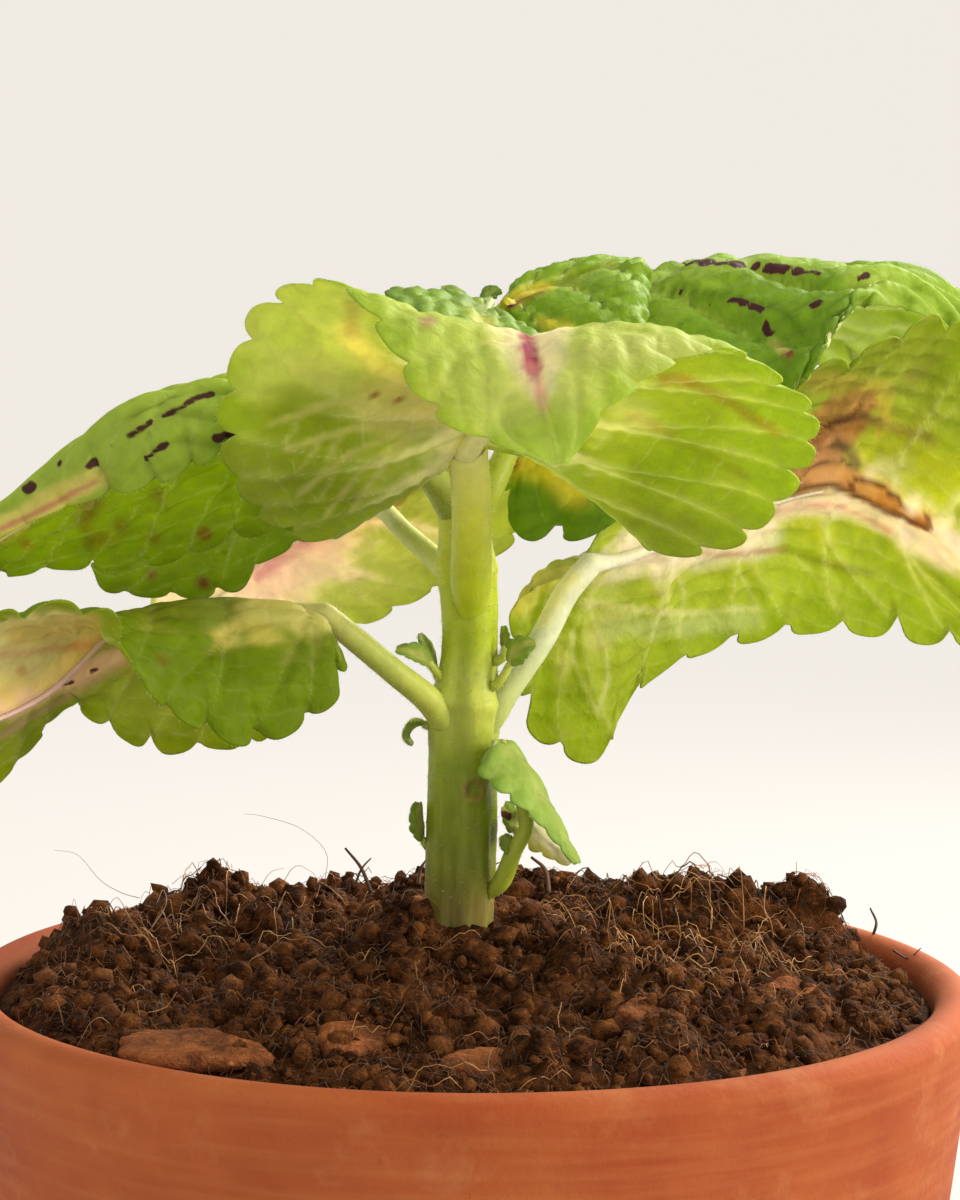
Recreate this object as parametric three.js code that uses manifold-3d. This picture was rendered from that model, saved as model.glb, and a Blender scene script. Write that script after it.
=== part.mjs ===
// A young coleus growing in a plain terracotta pot.
//
// Units are millimetres and +Z is up. The origin is the middle of the pot's base, on the
// surface that the pot stands on. The plant's front, where its largest leaf bows over, is -Y.
//
// Pieces: the pot, the soil, a bark chip, the square stem, and each leaf with its petiole.
// A leaf is a thin sheet drawn across three guides, its midrib and its two edges, with
// rounded lobes cut along both edges. Its petiole ends just clear of the stem.

import * as THREE from 'three';
import { mergeVertices } from 'three/addons/utils/BufferGeometryUtils.js';
import Module from 'manifold-3d';

const manifold = await Module();
manifold.setup();

// ---------------------------------------------------------------- driving dimensions

const gap = 0.3;                // clearance between neighbouring pieces

const potHeight = 105;
const rimRadius = 60;           // outside of the rim
const baseRadius = 47.5;        // outside of the base
const potWall = 5;
const potFloor = 6;
const drainRadius = 5;
const footRounding = 2.5;       // round edge at the foot of the pot
const floorFillet = 4;          // slope where the inside wall meets the floor
const potSides = 48;

const soilEdge = 102.2;         // height of the soil where it meets the wall
const soilRings = 11;
const soilSides = 48;
const soilLumps = 90;           // small crumbs raised over the surface

const stemSides = 20;
const stemRidge = 0.07;         // how far the four corners stand out, as a share of the radius
const stemTurn = 0.5;           // turn of the square section, in radians

const bladeThickness = 0.7;
const rowsPerLobe = 3;
const petioleSides = 6;

// ---------------------------------------------------------------- small tools

const v3 = ([x, y, z]) => new THREE.Vector3(x, y, z);
const curve = (points) => new THREE.CatmullRomCurve3(points.map(v3), false, 'catmullrom', 0.5);
const steps = (count) => Array.from({ length: count }, (_, i) => i / (count - 1));

// A repeatable draw between 0 and 1 for each whole number.
function draw(n) {
  const s = Math.sin(n * 12.9898) * 43758.5453;
  return s - Math.floor(s);
}

function solid(geometry) {
  const bare = geometry.index ? geometry.clone() : geometry;
  bare.deleteAttribute('normal');
  bare.deleteAttribute('uv');
  const merged = mergeVertices(bare, 1e-4);
  const mesh = new manifold.Mesh({
    numProp: 3,
    vertProperties: new Float32Array(merged.attributes.position.array),
    triVerts: new Uint32Array(merged.index.array),
  });
  return new manifold.Manifold(mesh);
}

function geometryOf(body) {
  const mesh = body.getMesh();
  const geometry = new THREE.BufferGeometry();
  geometry.setAttribute('position', new THREE.BufferAttribute(mesh.vertProperties, 3));
  geometry.setIndex(new THREE.BufferAttribute(mesh.triVerts, 1));
  geometry.computeVertexNormals();
  return geometry;
}

function indexed(vertices, triangles) {
  const geometry = new THREE.BufferGeometry();
  const flat = vertices.flatMap((p) => [p.x, p.y, p.z]);
  geometry.setAttribute('position', new THREE.Float32BufferAttribute(flat, 3));
  geometry.setIndex(triangles.flat());
  return geometry;
}

// Joins rings of equal length into one closed skin, with a fan over each end. The rings
// run counter-clockwise as seen from the end towards which they are stacked.
function skin(rings) {
  const sides = rings[0].length;
  const vertices = rings.flat();
  const triangles = [];
  for (let k = 0; k + 1 < rings.length; k += 1) {
    for (let i = 0; i < sides; i += 1) {
      const a = k * sides + i;
      const b = k * sides + ((i + 1) % sides);
      triangles.push([a, b, b + sides], [a, b + sides, a + sides]);
    }
  }
  const middle = (ring) => ring.reduce((m, p) => m.add(p), new THREE.Vector3()).divideScalar(sides);
  const first = vertices.push(middle(rings[0])) - 1;
  const last = vertices.push(middle(rings[rings.length - 1])) - 1;
  const top = (rings.length - 1) * sides;
  for (let i = 0; i < sides; i += 1) {
    const j = (i + 1) % sides;
    triangles.push([first, j, i], [last, top + i, top + j]);
  }
  return indexed(vertices, triangles);
}

// A round rod through a list of centres, each with its own radius.
function rod(centres, radii, sides) {
  const rings = [];
  let across = new THREE.Vector3(1, 0, 0);
  centres.forEach((centre, k) => {
    const before = centres[Math.max(k - 1, 0)];
    const after = centres[Math.min(k + 1, centres.length - 1)];
    const along = after.clone().sub(before).normalize();
    across = across.sub(along.clone().multiplyScalar(across.dot(along))).normalize();
    const up = along.clone().cross(across);
    const ring = [];
    for (let i = 0; i < sides; i += 1) {
      const turn = (2 * Math.PI * i) / sides;
      const offset = across.clone().multiplyScalar(Math.cos(turn) * radii[k]);
      ring.push(centre.clone().add(offset).add(up.clone().multiplyScalar(Math.sin(turn) * radii[k])));
    }
    rings.push(ring);
  });
  return skin(rings);
}

// ---------------------------------------------------------------- pot

const outerWall = (z) => baseRadius + ((rimRadius - baseRadius) * z) / potHeight;
const innerWall = (z) => outerWall(z) - potWall;

// One turned profile: base, foot, tapered wall, half-round rim, inside wall and floor.
function pot() {
  const rim = potWall / 2;
  const rimCentre = innerWall(potHeight - rim) + rim;
  const profile = [[drainRadius, 0]];
  for (const t of steps(3)) {
    const turn = (t * Math.PI) / 2;
    profile.push([
      outerWall(footRounding) - footRounding * (1 - Math.sin(turn)),
      footRounding * (1 - Math.cos(turn)),
    ]);
  }
  for (const t of steps(7)) {
    const turn = t * Math.PI;
    profile.push([rimCentre + rim * Math.cos(turn), potHeight - rim + rim * Math.sin(turn)]);
  }
  profile.push([innerWall(potFloor + floorFillet), potFloor + floorFillet]);
  profile.push([innerWall(potFloor) - floorFillet, potFloor]);
  profile.push([drainRadius, potFloor]);
  profile.push([drainRadius, 0]);
  const points = profile.map(([r, z]) => new THREE.Vector2(r, z));
  const geometry = new THREE.LatheGeometry(points, potSides);
  geometry.rotateX(Math.PI / 2);
  return solid(geometry);
}

// ---------------------------------------------------------------- stem

// Centre and half width of the stem up its height. It widens where a pair of leaves sets
// on, and narrows to the tip.
const stemStations = [
  { x: -0.8, z: 92, r: 3.0 },
  { x: -0.8, z: 100, r: 3.7 },
  { x: -0.8, z: 112, r: 4.0 },
  { x: -0.6, z: 122, r: 4.1 },
  { x: -0.5, z: 131, r: 4.0 },
  { x: -0.3, z: 137, r: 4.3 },
  { x: -0.1, z: 140, r: 3.5 },
  { x: 0.1, z: 144, r: 3.2 },
  { x: 0.0, z: 149, r: 3.3 },
  { x: -0.4, z: 153, r: 3.5 },
  { x: -0.6, z: 157, r: 3.0 },
  { x: -0.7, z: 163, r: 2.9 },
  { x: -0.3, z: 168, r: 2.3 },
  { x: 0.4, z: 175, r: 1.9 },
  { x: 1.1, z: 181, r: 1.6 },
  { x: 1.4, z: 184, r: 0.9 },
];
const stemRows = 23;

function stem(extra) {
  const path = curve(stemStations.map(({ x, z, r }) => [x, r, z]));
  const rings = steps(stemRows).map((t) => {
    const at = path.getPoint(t);
    const height = at.z + extra * (Math.floor(t) - Math.floor(1 - t));
    return Array.from({ length: stemSides }, (_, i) => {
      const turn = (2 * Math.PI * i) / stemSides;
      const radius = at.y * (1 + stemRidge * Math.cos(4 * (turn - stemTurn))) + extra;
      return new THREE.Vector3(at.x + radius * Math.cos(turn), radius * Math.sin(turn), height);
    });
  });
  return solid(skin(rings));
}

// ---------------------------------------------------------------- leaves

// How far a lobe reaches at a place along the edge: 0 in a notch and 1 on a lobe's crown.
function lobeReach(place) {
  const x = 2 * (place - Math.floor(place)) - 1;
  return (1 - Math.abs(x) ** 2.5) ** 0.6;
}

// Points of one half of a blade, in columns from the midrib to the edge.
function halfBlade(leaf, side, rows) {
  const midrib = curve(leaf.midrib);
  const edge = curve(side < 0 ? leaf.left : leaf.right);
  const arch = leaf.arch[side < 0 ? 0 : 1];
  const columns = leaf.columns.map(() => []);
  for (const s of steps(rows)) {
    const root = midrib.getPoint(s);
    const along = midrib.getTangent(s);
    const across = edge.getPoint(s).sub(root);
    const width = across.length();
    const up = (side < 0 ? along.clone().cross(across) : across.clone().cross(along)).normalize();
    const fade = Math.min(width / 12, 1);
    leaf.columns.forEach((t, j) => {
      const pillow = lobeReach(leaf.lobes * s + 0.5 * (1 - t)) - 0.6;
      const lift = leaf.fullArch(arch, width) * 4 * t * (1 - t) + leaf.puff * pillow * fade * 4 * t * (1 - t);
      const reach = t + (leaf.lobeDepth * fade * (lobeReach(leaf.lobes * s) - 0.6) * t ** 6) / width;
      columns[j].push(root.clone().add(across.clone().multiplyScalar(reach)).add(up.clone().multiplyScalar(lift)));
    });
  }
  return columns;
}

// The blade as a closed sheet: every point of the grid is moved half the thickness to
// each side along the surface's own direction, and the rim joins the two faces.
function blade(leaf) {
  const rows = leaf.lobes * rowsPerLobe + 1;
  const left = halfBlade(leaf, -1, rows);
  const right = halfBlade(leaf, 1, rows);
  const grid = [...left.slice(1).reverse(), ...right];
  const wide = grid.length;
  const top = [];
  const bottom = [];
  for (let j = 0; j < wide; j += 1) {
    for (let i = 0; i < rows; i += 1) {
      const along = grid[j][Math.min(i + 1, rows - 1)].clone().sub(grid[j][Math.max(i - 1, 0)]);
      const across = grid[Math.min(j + 1, wide - 1)][i].clone().sub(grid[Math.max(j - 1, 0)][i]);
      const up = across.cross(along).normalize().multiplyScalar(leaf.thickness / 2);
      top.push(grid[j][i].clone().add(up));
      bottom.push(grid[j][i].clone().sub(up));
    }
  }
  const under = top.length;
  const at = (j, i) => j * rows + i;
  const triangles = [];
  for (let j = 0; j + 1 < wide; j += 1) {
    for (let i = 0; i + 1 < rows; i += 1) {
      const [a, b, c, d] = [at(j, i), at(j + 1, i), at(j + 1, i + 1), at(j, i + 1)];
      triangles.push([a, b, c], [a, c, d]);
      triangles.push([under + a, under + c, under + b], [under + a, under + d, under + c]);
    }
  }
  const rim = [];
  for (let j = 0; j + 1 < wide; j += 1) rim.push([at(j, 0), at(j + 1, 0)]);
  for (let i = 0; i + 1 < rows; i += 1) rim.push([at(wide - 1, i), at(wide - 1, i + 1)]);
  for (let j = wide - 1; j > 0; j -= 1) rim.push([at(j, rows - 1), at(j - 1, rows - 1)]);
  for (let i = rows - 1; i > 0; i -= 1) rim.push([at(0, i), at(0, i - 1)]);
  rim.forEach(([a, b]) => triangles.push([a, under + a, under + b], [a, under + b, b]));
  return solid(indexed([...top, ...bottom], triangles));
}

// The petiole, and the raised midrib that it runs into along the underside of the blade.
function rib(leaf) {
  const petiole = curve(leaf.petiole);
  const midrib = curve(leaf.midrib);
  const left = curve(leaf.left);
  const right = curve(leaf.right);
  const [thick, thin] = leaf.stalk;
  const centres = [];
  const radii = [];
  for (const t of steps(leaf.petioleRows)) {
    centres.push(petiole.getPoint(t));
    radii.push(thick * (1 + 0.25 * (1 - t) ** 3) + (thin - thick) * t);
  }
  for (const t of steps(leaf.midribRows).slice(1)) {
    const s = t * leaf.midribReach;
    const up = right.getPoint(s).sub(left.getPoint(s)).cross(midrib.getTangent(s)).normalize();
    const radius = thin + (bladeThickness / 2 + 0.1 - thin) * t;
    centres.push(midrib.getPoint(s).sub(up.multiplyScalar(radius * Math.min(3 * t, 1))));
    radii.push(radius);
  }
  return solid(rod(centres, radii, petioleSides));
}

const largeLeaf = {
  columns: [0, 0.36, 0.72, 1],
  thickness: bladeThickness,
  puff: 0.8,
  petioleRows: 5,
  midribRows: 4,
  midribReach: 0.45,
  fullArch: (arch, width) => arch * Math.min(width / 12, 1),
};

const smallLeaf = {
  columns: [0, 1],
  thickness: 0.6,
  puff: 0.3,
  petioleRows: 3,
  midribRows: 3,
  midribReach: 0.4,
  arch: [0.3, 0.3],
  fullArch: (arch) => arch,
};

// The guides of each leaf run from the end of the petiole to the tip of the blade.

const leaf1Left = {
  ...largeLeaf,
  petiole: [[-0.5, -0.5, 134], [-4, -3, 137.2], [-8.5, -6, 141], [-13.5, -9, 145.5], [-16.5, -10, 148]],
  midrib: [
    [-16.5, -10, 148], [-20.5, -10, 149], [-25.5, -11, 150], [-31, -13, 149.5], [-35.5, -16, 147],
    [-40.5, -21, 143.5], [-47, -27, 140], [-58, -34, 135.5], [-70.5, -38, 130],
  ],
  left: [
    [-15.5, -11, 146], [-14, -15, 142], [-17.5, -18, 137.5], [-24, -21, 135.5], [-31, -26, 138.5],
    [-36, -34, 145], [-38.5, -38, 151], [-52, -42, 148.5], [-69.5, -41, 131.5],
  ],
  right: [
    [-17.5, -7, 146], [-20, -3, 138.5], [-25, -1, 133], [-31, -1, 132], [-37, -2, 132],
    [-43.5, -5, 135.5], [-46.5, -10, 137.5], [-55.5, -22, 128], [-71, -36, 128.5],
  ],
  arch: [3, 1],
  lobes: 11,
  lobeDepth: 2.4,
  stalk: [1.7, 1.4],
};

const leaf1Right = {
  ...largeLeaf,
  petiole: [[0, 0, 134], [4, 0, 138], [8.5, 2, 144], [11.5, 4, 149.5], [14.5, 6, 153]],
  midrib: [
    [14.5, 6, 153], [17, 9, 154], [21.5, 13, 155], [27, 17, 157], [35.5, 22, 159.5],
    [46.5, 28, 161.5], [56, 33, 159], [64.5, 37, 152], [71, 40, 143.5],
  ],
  left: [
    [12.5, 8, 152], [5.5, 14, 147.5], [8, 19, 132.5], [16, 22, 128], [22, 26, 137],
    [36, 33, 142.5], [53.5, 38, 143], [66, 41, 141], [71, 41, 142],
  ],
  right: [
    [14, 7, 154.5], [16, 6, 157.5], [20, 4, 161.5], [27.5, 3, 168], [36.5, 4, 174],
    [47.5, 8, 179], [58.5, 16, 182.5], [69, 29, 169], [71.5, 38, 145],
  ],
  arch: [2, 2],
  lobes: 10,
  lobeDepth: 2.4,
  stalk: [2.0, 1.7],
};

const leaf2Front = {
  ...largeLeaf,
  petiole: [
    [-0.4, -1.5, 150], [-0.5, -5.6, 154.5], [-0.5, -8.5, 159], [-0.5, -11.5, 163.5], [-0.5, -14, 167.5],
  ],
  midrib: [
    [-0.5, -14, 167.5], [-0.5, -16, 168], [0.5, -20, 169.5], [1.5, -26, 171.5], [3, -33, 174],
    [4.5, -41, 177], [6, -50, 179], [6.5, -60, 173.5], [8, -66, 167],
  ],
  left: [
    [1.3, -13, 167.2], [13.5, -8, 164.5], [21, -8, 156], [30.5, -14, 158], [35, -24, 165],
    [35, -36, 172], [24.5, -49, 178.5], [14, -62, 173.5], [9, -66, 167],
  ],
  right: [
    [-2, -13, 167], [-8, -8, 162.5], [-17, -8, 157], [-25, -21, 163], [-25.5, -31, 173.5],
    [-21, -37, 182.5], [-12, -49, 184], [-3, -62, 172], [7, -66, 167],
  ],
  arch: [1.5, -0.8],
  lobes: 11,
  lobeDepth: 2.2,
  stalk: [2.2, 2.0],
};

const leaf2Back = {
  ...largeLeaf,
  petiole: [[-0.4, 1, 150], [-3.5, 4, 153], [-8, 10, 156.5], [-10.5, 17, 158.5], [-13, 25, 159]],
  midrib: [
    [-13, 25, 159], [-15.5, 29, 158.5], [-19, 34, 156.5], [-23.5, 40, 153.5], [-28.5, 46, 150],
    [-33, 52, 146], [-37, 57, 142.5], [-40.5, 62, 139], [-43.5, 65, 135.5],
  ],
  left: [
    [-11, 26, 159], [-5, 29, 162], [5.5, 32, 161], [6.5, 32, 155], [-4, 32, 148],
    [-11, 36, 144.5], [-20, 43, 139.5], [-31, 53, 134.5], [-42, 64, 134.5],
  ],
  right: [
    [-14, 28, 160], [-17, 36, 161.5], [-23, 46, 162.5], [-29.5, 54, 161], [-35.5, 60, 157],
    [-40.5, 64, 152], [-43.5, 66, 146.5], [-45, 66, 141], [-45, 66, 136],
  ],
  arch: [2, 2],
  lobes: 11,
  lobeDepth: 2.2,
  stalk: [1.3, 1.1],
};

const leaf3Left = {
  ...largeLeaf,
  petiole: [[-0.8, 0, 159], [-3, -2, 161.7], [-5.5, -5, 164.5], [-8.5, -9, 167.5], [-11.5, -11, 170.5]],
  midrib: [
    [-11.5, -11, 170.5], [-15.5, -14, 172.5], [-20.5, -16, 174], [-25.5, -17, 174], [-32, -18, 171],
    [-38.5, -19, 166.5], [-46, -21, 161], [-52.5, -23, 156.5], [-59, -26, 150.5],
  ],
  left: [
    [-10, -13, 169.5], [-13, -14.5, 169], [-19.5, -17.5, 168.5], [-26.5, -21.5, 167.5], [-33, -25, 164],
    [-39, -26, 162.5], [-45.5, -26, 160], [-52.5, -27, 156], [-58.5, -28, 150],
  ],
  right: [
    [-12.5, -9, 169], [-15, -6, 162], [-19.5, -5, 158.5], [-26.5, -4, 157.5], [-33.5, -4, 154.5],
    [-41, -5, 153.5], [-49.5, -6, 153], [-56.5, -12, 152], [-60, -24, 150],
  ],
  arch: [8, 1],
  lobes: 11,
  lobeDepth: 2.4,
  stalk: [1.8, 1.5],
};

const leaf3Right = {
  ...largeLeaf,
  petiole: [[-0.5, 0, 159], [2.5, 0.5, 162.5], [5, 4, 167.5], [9, 8, 172.5], [12, 10, 176.5]],
  midrib: [
    [12, 10, 176.5], [16, 13, 182], [21.5, 16, 186.5], [29.5, 20, 189.5], [38, 24, 190.5],
    [46.5, 29, 190], [55.5, 33, 188], [64, 36, 184], [71, 38, 177.5],
  ],
  left: [
    [13.5, 12, 178], [17, 22, 182.5], [25, 34, 185], [36, 43, 183.5], [45.5, 47, 178],
    [54.5, 48, 177.5], [59.5, 48, 181], [67.5, 44, 181], [71.5, 39, 177.5],
  ],
  right: [
    [11, 8, 175], [3.5, 5, 165.5], [7, 0, 157.5], [16, -3, 158.5], [29.5, -3, 166],
    [39, 0, 175.5], [47, 12, 184.5], [61, 26, 182.5], [70, 37, 176.5],
  ],
  arch: [3, 3],
  lobes: 11,
  lobeDepth: 3,
  stalk: [1.5, 1.3],
};

// A younger leaf from the axil behind the left leaf of the third pair.
const leaf3Axil = {
  ...largeLeaf,
  petiole: [[-0.8, 1, 160.5], [-3, 3, 162.5], [-5, 4, 164.5], [-7, 5, 166.5], [-8.5, 6, 168]],
  midrib: [
    [-8.5, 6, 168], [-13, 5, 167], [-19, 4, 164], [-26, 4, 160], [-33, 3, 157.5], [-39, 2, 155],
    [-43.5, 1, 153],
  ],
  left: [
    [-7, 4, 167.5], [-6, 1, 165], [-11.5, -1, 160], [-23.5, 0, 154], [-28.5, 1, 150],
    [-41, 0, 149.5], [-44.5, 0, 152.5],
  ],
  right: [
    [-8.5, 9, 169], [-13, 14, 169], [-21, 18, 167], [-29.5, 18, 163.5], [-38, 14, 159],
    [-43, 8, 155.5], [-44.5, 3, 153.5],
  ],
  arch: [2, 2],
  lobes: 8,
  lobeDepth: 2,
  stalk: [1.1, 0.9],
};

const leaf4Front = {
  ...largeLeaf,
  petiole: [[1, 0, 180], [1.3, -2, 182], [1.6, -4, 183], [2, -6, 183.5]],
  midrib: [[2, -6, 183.5], [1.5, -12, 182.5], [1, -20, 181.5], [1.5, -28, 180], [3, -34, 177.5]],
  left: [[3, -6, 183], [8, -10, 180], [10, -20, 178], [8.5, -28, 177], [4, -34, 177.5]],
  right: [[0.5, -6, 184], [-6, -10, 185], [-9, -18, 184.5], [-6.5, -28, 181], [2, -34, 177.5]],
  arch: [0, 0.6],
  lobes: 6,
  lobeDepth: 1.4,
  stalk: [0.9, 0.8],
};

const leaf4Back = {
  ...largeLeaf,
  petiole: [[1, 0, 178.5], [2, 1.5, 180.5], [2.8, 2.4, 181.8], [3.5, 3, 183]],
  midrib: [[3.5, 3, 183], [6, 5, 184.5], [10.5, 8, 186], [15.5, 12, 188], [20, 16, 189]],
  left: [[3.5, 5, 184], [5.5, 10, 187], [10, 14, 189], [15.5, 17, 189.5], [19.5, 18, 189.5]],
  right: [[3.5, 0, 182], [6, -5, 178.5], [11.5, -9, 177.5], [19.5, -5, 180.5], [21.5, 14, 188]],
  arch: [1.2, 2],
  lobes: 6,
  lobeDepth: 1.4,
  stalk: [0.9, 0.8],
};

const tipBudFront = {
  ...smallLeaf,
  petiole: [[1, 0.5, 181.5], [1, 1, 182.6], [1, 1, 183.3]],
  midrib: [[1, 1, 183.3], [1.6, 0, 184.1], [2.3, -1, 184.9], [3.1, -2, 185.3]],
  left: [[0.8, 3, 183.9], [1.2, 4, 185.3], [1.8, 3, 185.8], [2.9, 0, 185.6]],
  right: [[1.4, -1, 183.3], [2.4, -2.6, 184], [3.2, -3, 184.7], [3.4, -3, 185.1]],
  lobes: 2,
  lobeDepth: 0.4,
  stalk: [0.6, 0.5],
};

const tipBudBack = {
  ...smallLeaf,
  petiole: [[0.6, 1, 181.5], [0, 1.6, 182.6], [-0.4, 1.4, 183.5]],
  midrib: [[-0.4, 1.4, 183.5], [-1.2, 2, 184.4], [-2.4, 3, 185.1], [-3.7, 4, 185.3]],
  left: [[-0.3, -0.4, 183.4], [-1.4, -0.8, 184], [-2.7, 0.5, 184.8], [-3.8, 3, 185.1]],
  right: [[-0.1, 4, 184], [-1, 6, 185.3], [-2.2, 7, 185.9], [-3.6, 5, 185.7]],
  lobes: 2,
  lobeDepth: 0.4,
  stalk: [0.6, 0.5],
};

const axilLeftFront = {
  ...smallLeaf,
  petiole: [[-0.4, -0.5, 136.5], [-3.5, -2, 140.4], [-4.5, -3, 141.7]],
  midrib: [[-4.5, -3, 141.7], [-5.7, -4, 142.7], [-7, -5, 143.4], [-8.4, -5, 143.5]],
  left: [[-4.8, -3.7, 141.5], [-6.3, -4.5, 142.2], [-7.4, -5.2, 142.8], [-8.5, -5.4, 143.3]],
  right: [[-4, -2, 142.2], [-5.2, -3, 143.9], [-6.8, -4, 144.2], [-8.3, -4.6, 143.9]],
  lobes: 2,
  lobeDepth: 0.5,
  stalk: [0.6, 0.5],
};

const axilLeftBack = {
  ...smallLeaf,
  petiole: [[-0.4, 0, 136.5], [-3.3, 0, 139.5], [-3.8, 0, 140.7]],
  midrib: [[-3.8, 0, 140.7], [-4.3, 0, 142.1], [-5, -0.6, 143.6], [-5.7, -1, 145.1]],
  left: [[-4.4, -1, 140.9], [-5.4, -2, 142.3], [-5.6, -2, 143.7], [-5.9, -1.4, 144.9]],
  right: [[-3.6, 1, 140.8], [-3.9, 2, 142.6], [-4.4, 1.4, 143.9], [-5.5, 0, 145.1]],
  lobes: 2,
  lobeDepth: 0.5,
  stalk: [0.6, 0.5],
};

const axilRightFront = {
  ...smallLeaf,
  petiole: [[2.6, -2.6, 138.6], [4, -3, 140.2], [4.8, -2.8, 141.7]],
  midrib: [[4.8, -2.8, 141.7], [5.5, -2.8, 142.9], [6.6, -3.2, 143.9], [7.8, -3.2, 144.3]],
  left: [[4.4, -1.8, 142.2], [4.8, -1.3, 144.2], [6.2, -1.8, 144.9], [7.7, -2.6, 144.6]],
  right: [[5.2, -3.6, 141.6], [6.1, -4.4, 142], [7, -4.2, 143.1], [7.8, -3.8, 143.9]],
  lobes: 2,
  lobeDepth: 0.5,
  stalk: [0.6, 0.5],
};

const axilRightBack = {
  ...smallLeaf,
  petiole: [[2.6, -0.9, 141.6], [4.1, -0.9, 142.4], [4.2, 0.4, 143.2]],
  midrib: [[4.2, 0.4, 143.2], [4.1, 1, 143.6], [4.1, 1.2, 144.6], [4.1, 1.2, 145.8]],
  left: [[3.9, 1.2, 143.1], [3.7, 2.2, 143.7], [3.7, 2.4, 144.7], [3.8, 2, 145.8]],
  right: [[4.6, -0.2, 143.2], [4.9, 0, 144], [4.7, 0.2, 145], [4.3, 0.4, 146]],
  lobes: 2,
  lobeDepth: 0.5,
  stalk: [0.5, 0.45],
};

const hookLeaf = {
  ...smallLeaf,
  petiole: [[-1, -1, 134], [-4.4, -1, 134.2], [-5.1, -1, 134.4]],
  midrib: [[-5.1, -1, 134.4], [-6.4, -1, 134.2], [-7.1, -1, 133], [-6.4, -1, 132]],
  left: [[-5.3, 0, 134.2], [-6.2, 0.2, 133.8], [-6.8, 0.2, 132.9], [-6.4, 0, 132.2]],
  right: [[-5.1, -2, 134.6], [-6.8, -2.2, 134.6], [-7.5, -2.2, 133], [-6.5, -2, 131.9]],
  lobes: 2,
  lobeDepth: 0.4,
  stalk: [0.6, 0.5],
};

const lowLeaf = {
  ...smallLeaf,
  petiole: [[-2, 0, 118.6], [-4.4, 0, 119.6], [-5.1, 0, 120.5]],
  midrib: [[-5.1, 0, 120.5], [-5.5, -0.6, 122.1], [-5.8, -1, 123.6], [-5.7, -0.6, 125]],
  left: [[-5.6, -1, 120.4], [-6.5, -2, 122], [-6.6, -2, 124.1], [-6.1, -1.4, 125.3]],
  right: [[-5.1, 1, 120.6], [-5.1, 1.6, 122], [-5.3, 1.4, 123.7], [-5.4, 0.6, 125]],
  lobes: 2,
  lobeDepth: 0.5,
  stalk: [0.6, 0.5],
};

// A side shoot from the foot of the stem: a stalk, a leaf folded like a roof, a pale leaf
// behind it and two small ones.
const sideShoot = [
  {
    ...smallLeaf,
    petiole: [
      [0.5, 0, 112.9], [3.9, -2, 115.7], [5.5, -3, 119.7], [7, -3, 123], [5.8, -3, 127.2],
      [4.4, -4.4, 131], [4, -5, 132.8],
    ],
    petioleRows: 10,
    midrib: [[4, -5, 132.8], [5.2, -6, 132.3], [7.6, -7, 128.8], [10.1, -8, 123.8], [12.7, -8, 119.2]],
    left: [[4.6, -3.4, 132.9], [6, -2, 131.4], [8.4, -2, 127.8], [11, -3.6, 123], [13.2, -6.6, 119.1]],
    right: [[2.7, -7, 132.6], [1.4, -10, 130.3], [4.5, -12, 127.9], [9, -11, 123.7], [12.3, -9, 119.3]],
    columns: [0, 0.5, 1],
    arch: [0.5, 0.8],
    lobes: 6,
    lobeDepth: 1.1,
    stalk: [1.1, 0.6],
  },
  {
    ...smallLeaf,
    petiole: [[7, -3, 122.6], [6.6, -1, 123.2], [6.2, 1, 123.7]],
    midrib: [[6.2, 1, 123.7], [8.4, 1, 121.8], [10.8, 1, 119.5], [12.5, 0, 118]],
    left: [[6.5, 2, 124.2], [9.2, 3, 123], [11.3, 2.4, 120.6], [12.9, 1, 118.4]],
    right: [[5.6, 1, 122.9], [6.8, 2, 119.9], [9.4, 2, 118.3], [12, 0.6, 117.4]],
    lobes: 3,
    lobeDepth: 0.7,
    stalk: [0.7, 0.5],
  },
  {
    ...smallLeaf,
    petiole: [[6.4, -3, 121.4], [5.8, 0, 121.8]],
    midrib: [[5.8, 0, 121.8], [5, 1, 123.1], [4.3, 2, 124.3]],
    left: [[5.1, 0.2, 121.3], [4.3, 0.6, 122.7], [4.1, 1.2, 124.1]],
    right: [[6.3, 1, 122.2], [5.8, 3, 124.2], [4.6, 3, 124.8]],
    lobes: 1,
    lobeDepth: 0.4,
    stalk: [0.5, 0.45],
  },
  {
    ...smallLeaf,
    petiole: [[5.4, -3, 119], [5.1, -3.2, 119.9]],
    midrib: [[5.1, -3.2, 119.9], [4.6, -3.8, 120.9], [4.1, -4.2, 121.7]],
    left: [[4.8, -4, 119.5], [4, -4.8, 120.5], [3.9, -4.8, 121.3]],
    right: [[5.5, -2.6, 120.2], [5.3, -2.8, 121.5], [4.5, -3.6, 122]],
    lobes: 1,
    lobeDepth: 0.3,
    stalk: [0.5, 0.45],
  },
];

const stemWithGap = stem(gap);

// Petiole, midrib and blade joined in one body, and cut back to just clear of the stem.
function leafBody(leaves) {
  const parts = leaves.flatMap((leaf) => [rib(leaf), blade(leaf)]);
  const whole = parts.reduce((sum, part) => sum.add(part));
  return whole.subtract(stemWithGap);
}

// ---------------------------------------------------------------- soil and bark

// Larger heaps of the soil: middle, height and spread.
const heaps = [
  { x: -0.8, y: 1, height: 7.4, spread: 17 },
  { x: 27, y: 21, height: 7.6, spread: 13 },
  { x: 43, y: 21, height: 6.4, spread: 6 },
  { x: -30, y: 21, height: 6.4, spread: 13 },
  { x: -44, y: 3, height: 4.6, spread: 8 },
  { x: 4, y: 34, height: 4.6, spread: 15 },
  { x: 24, y: -22, height: 3.2, spread: 15 },
  { x: -14, y: -26, height: 2.2, spread: 12 },
];
const soilBase = 103.6;
const wallMargin = 5;           // the soil falls off to its edge over this width

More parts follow.
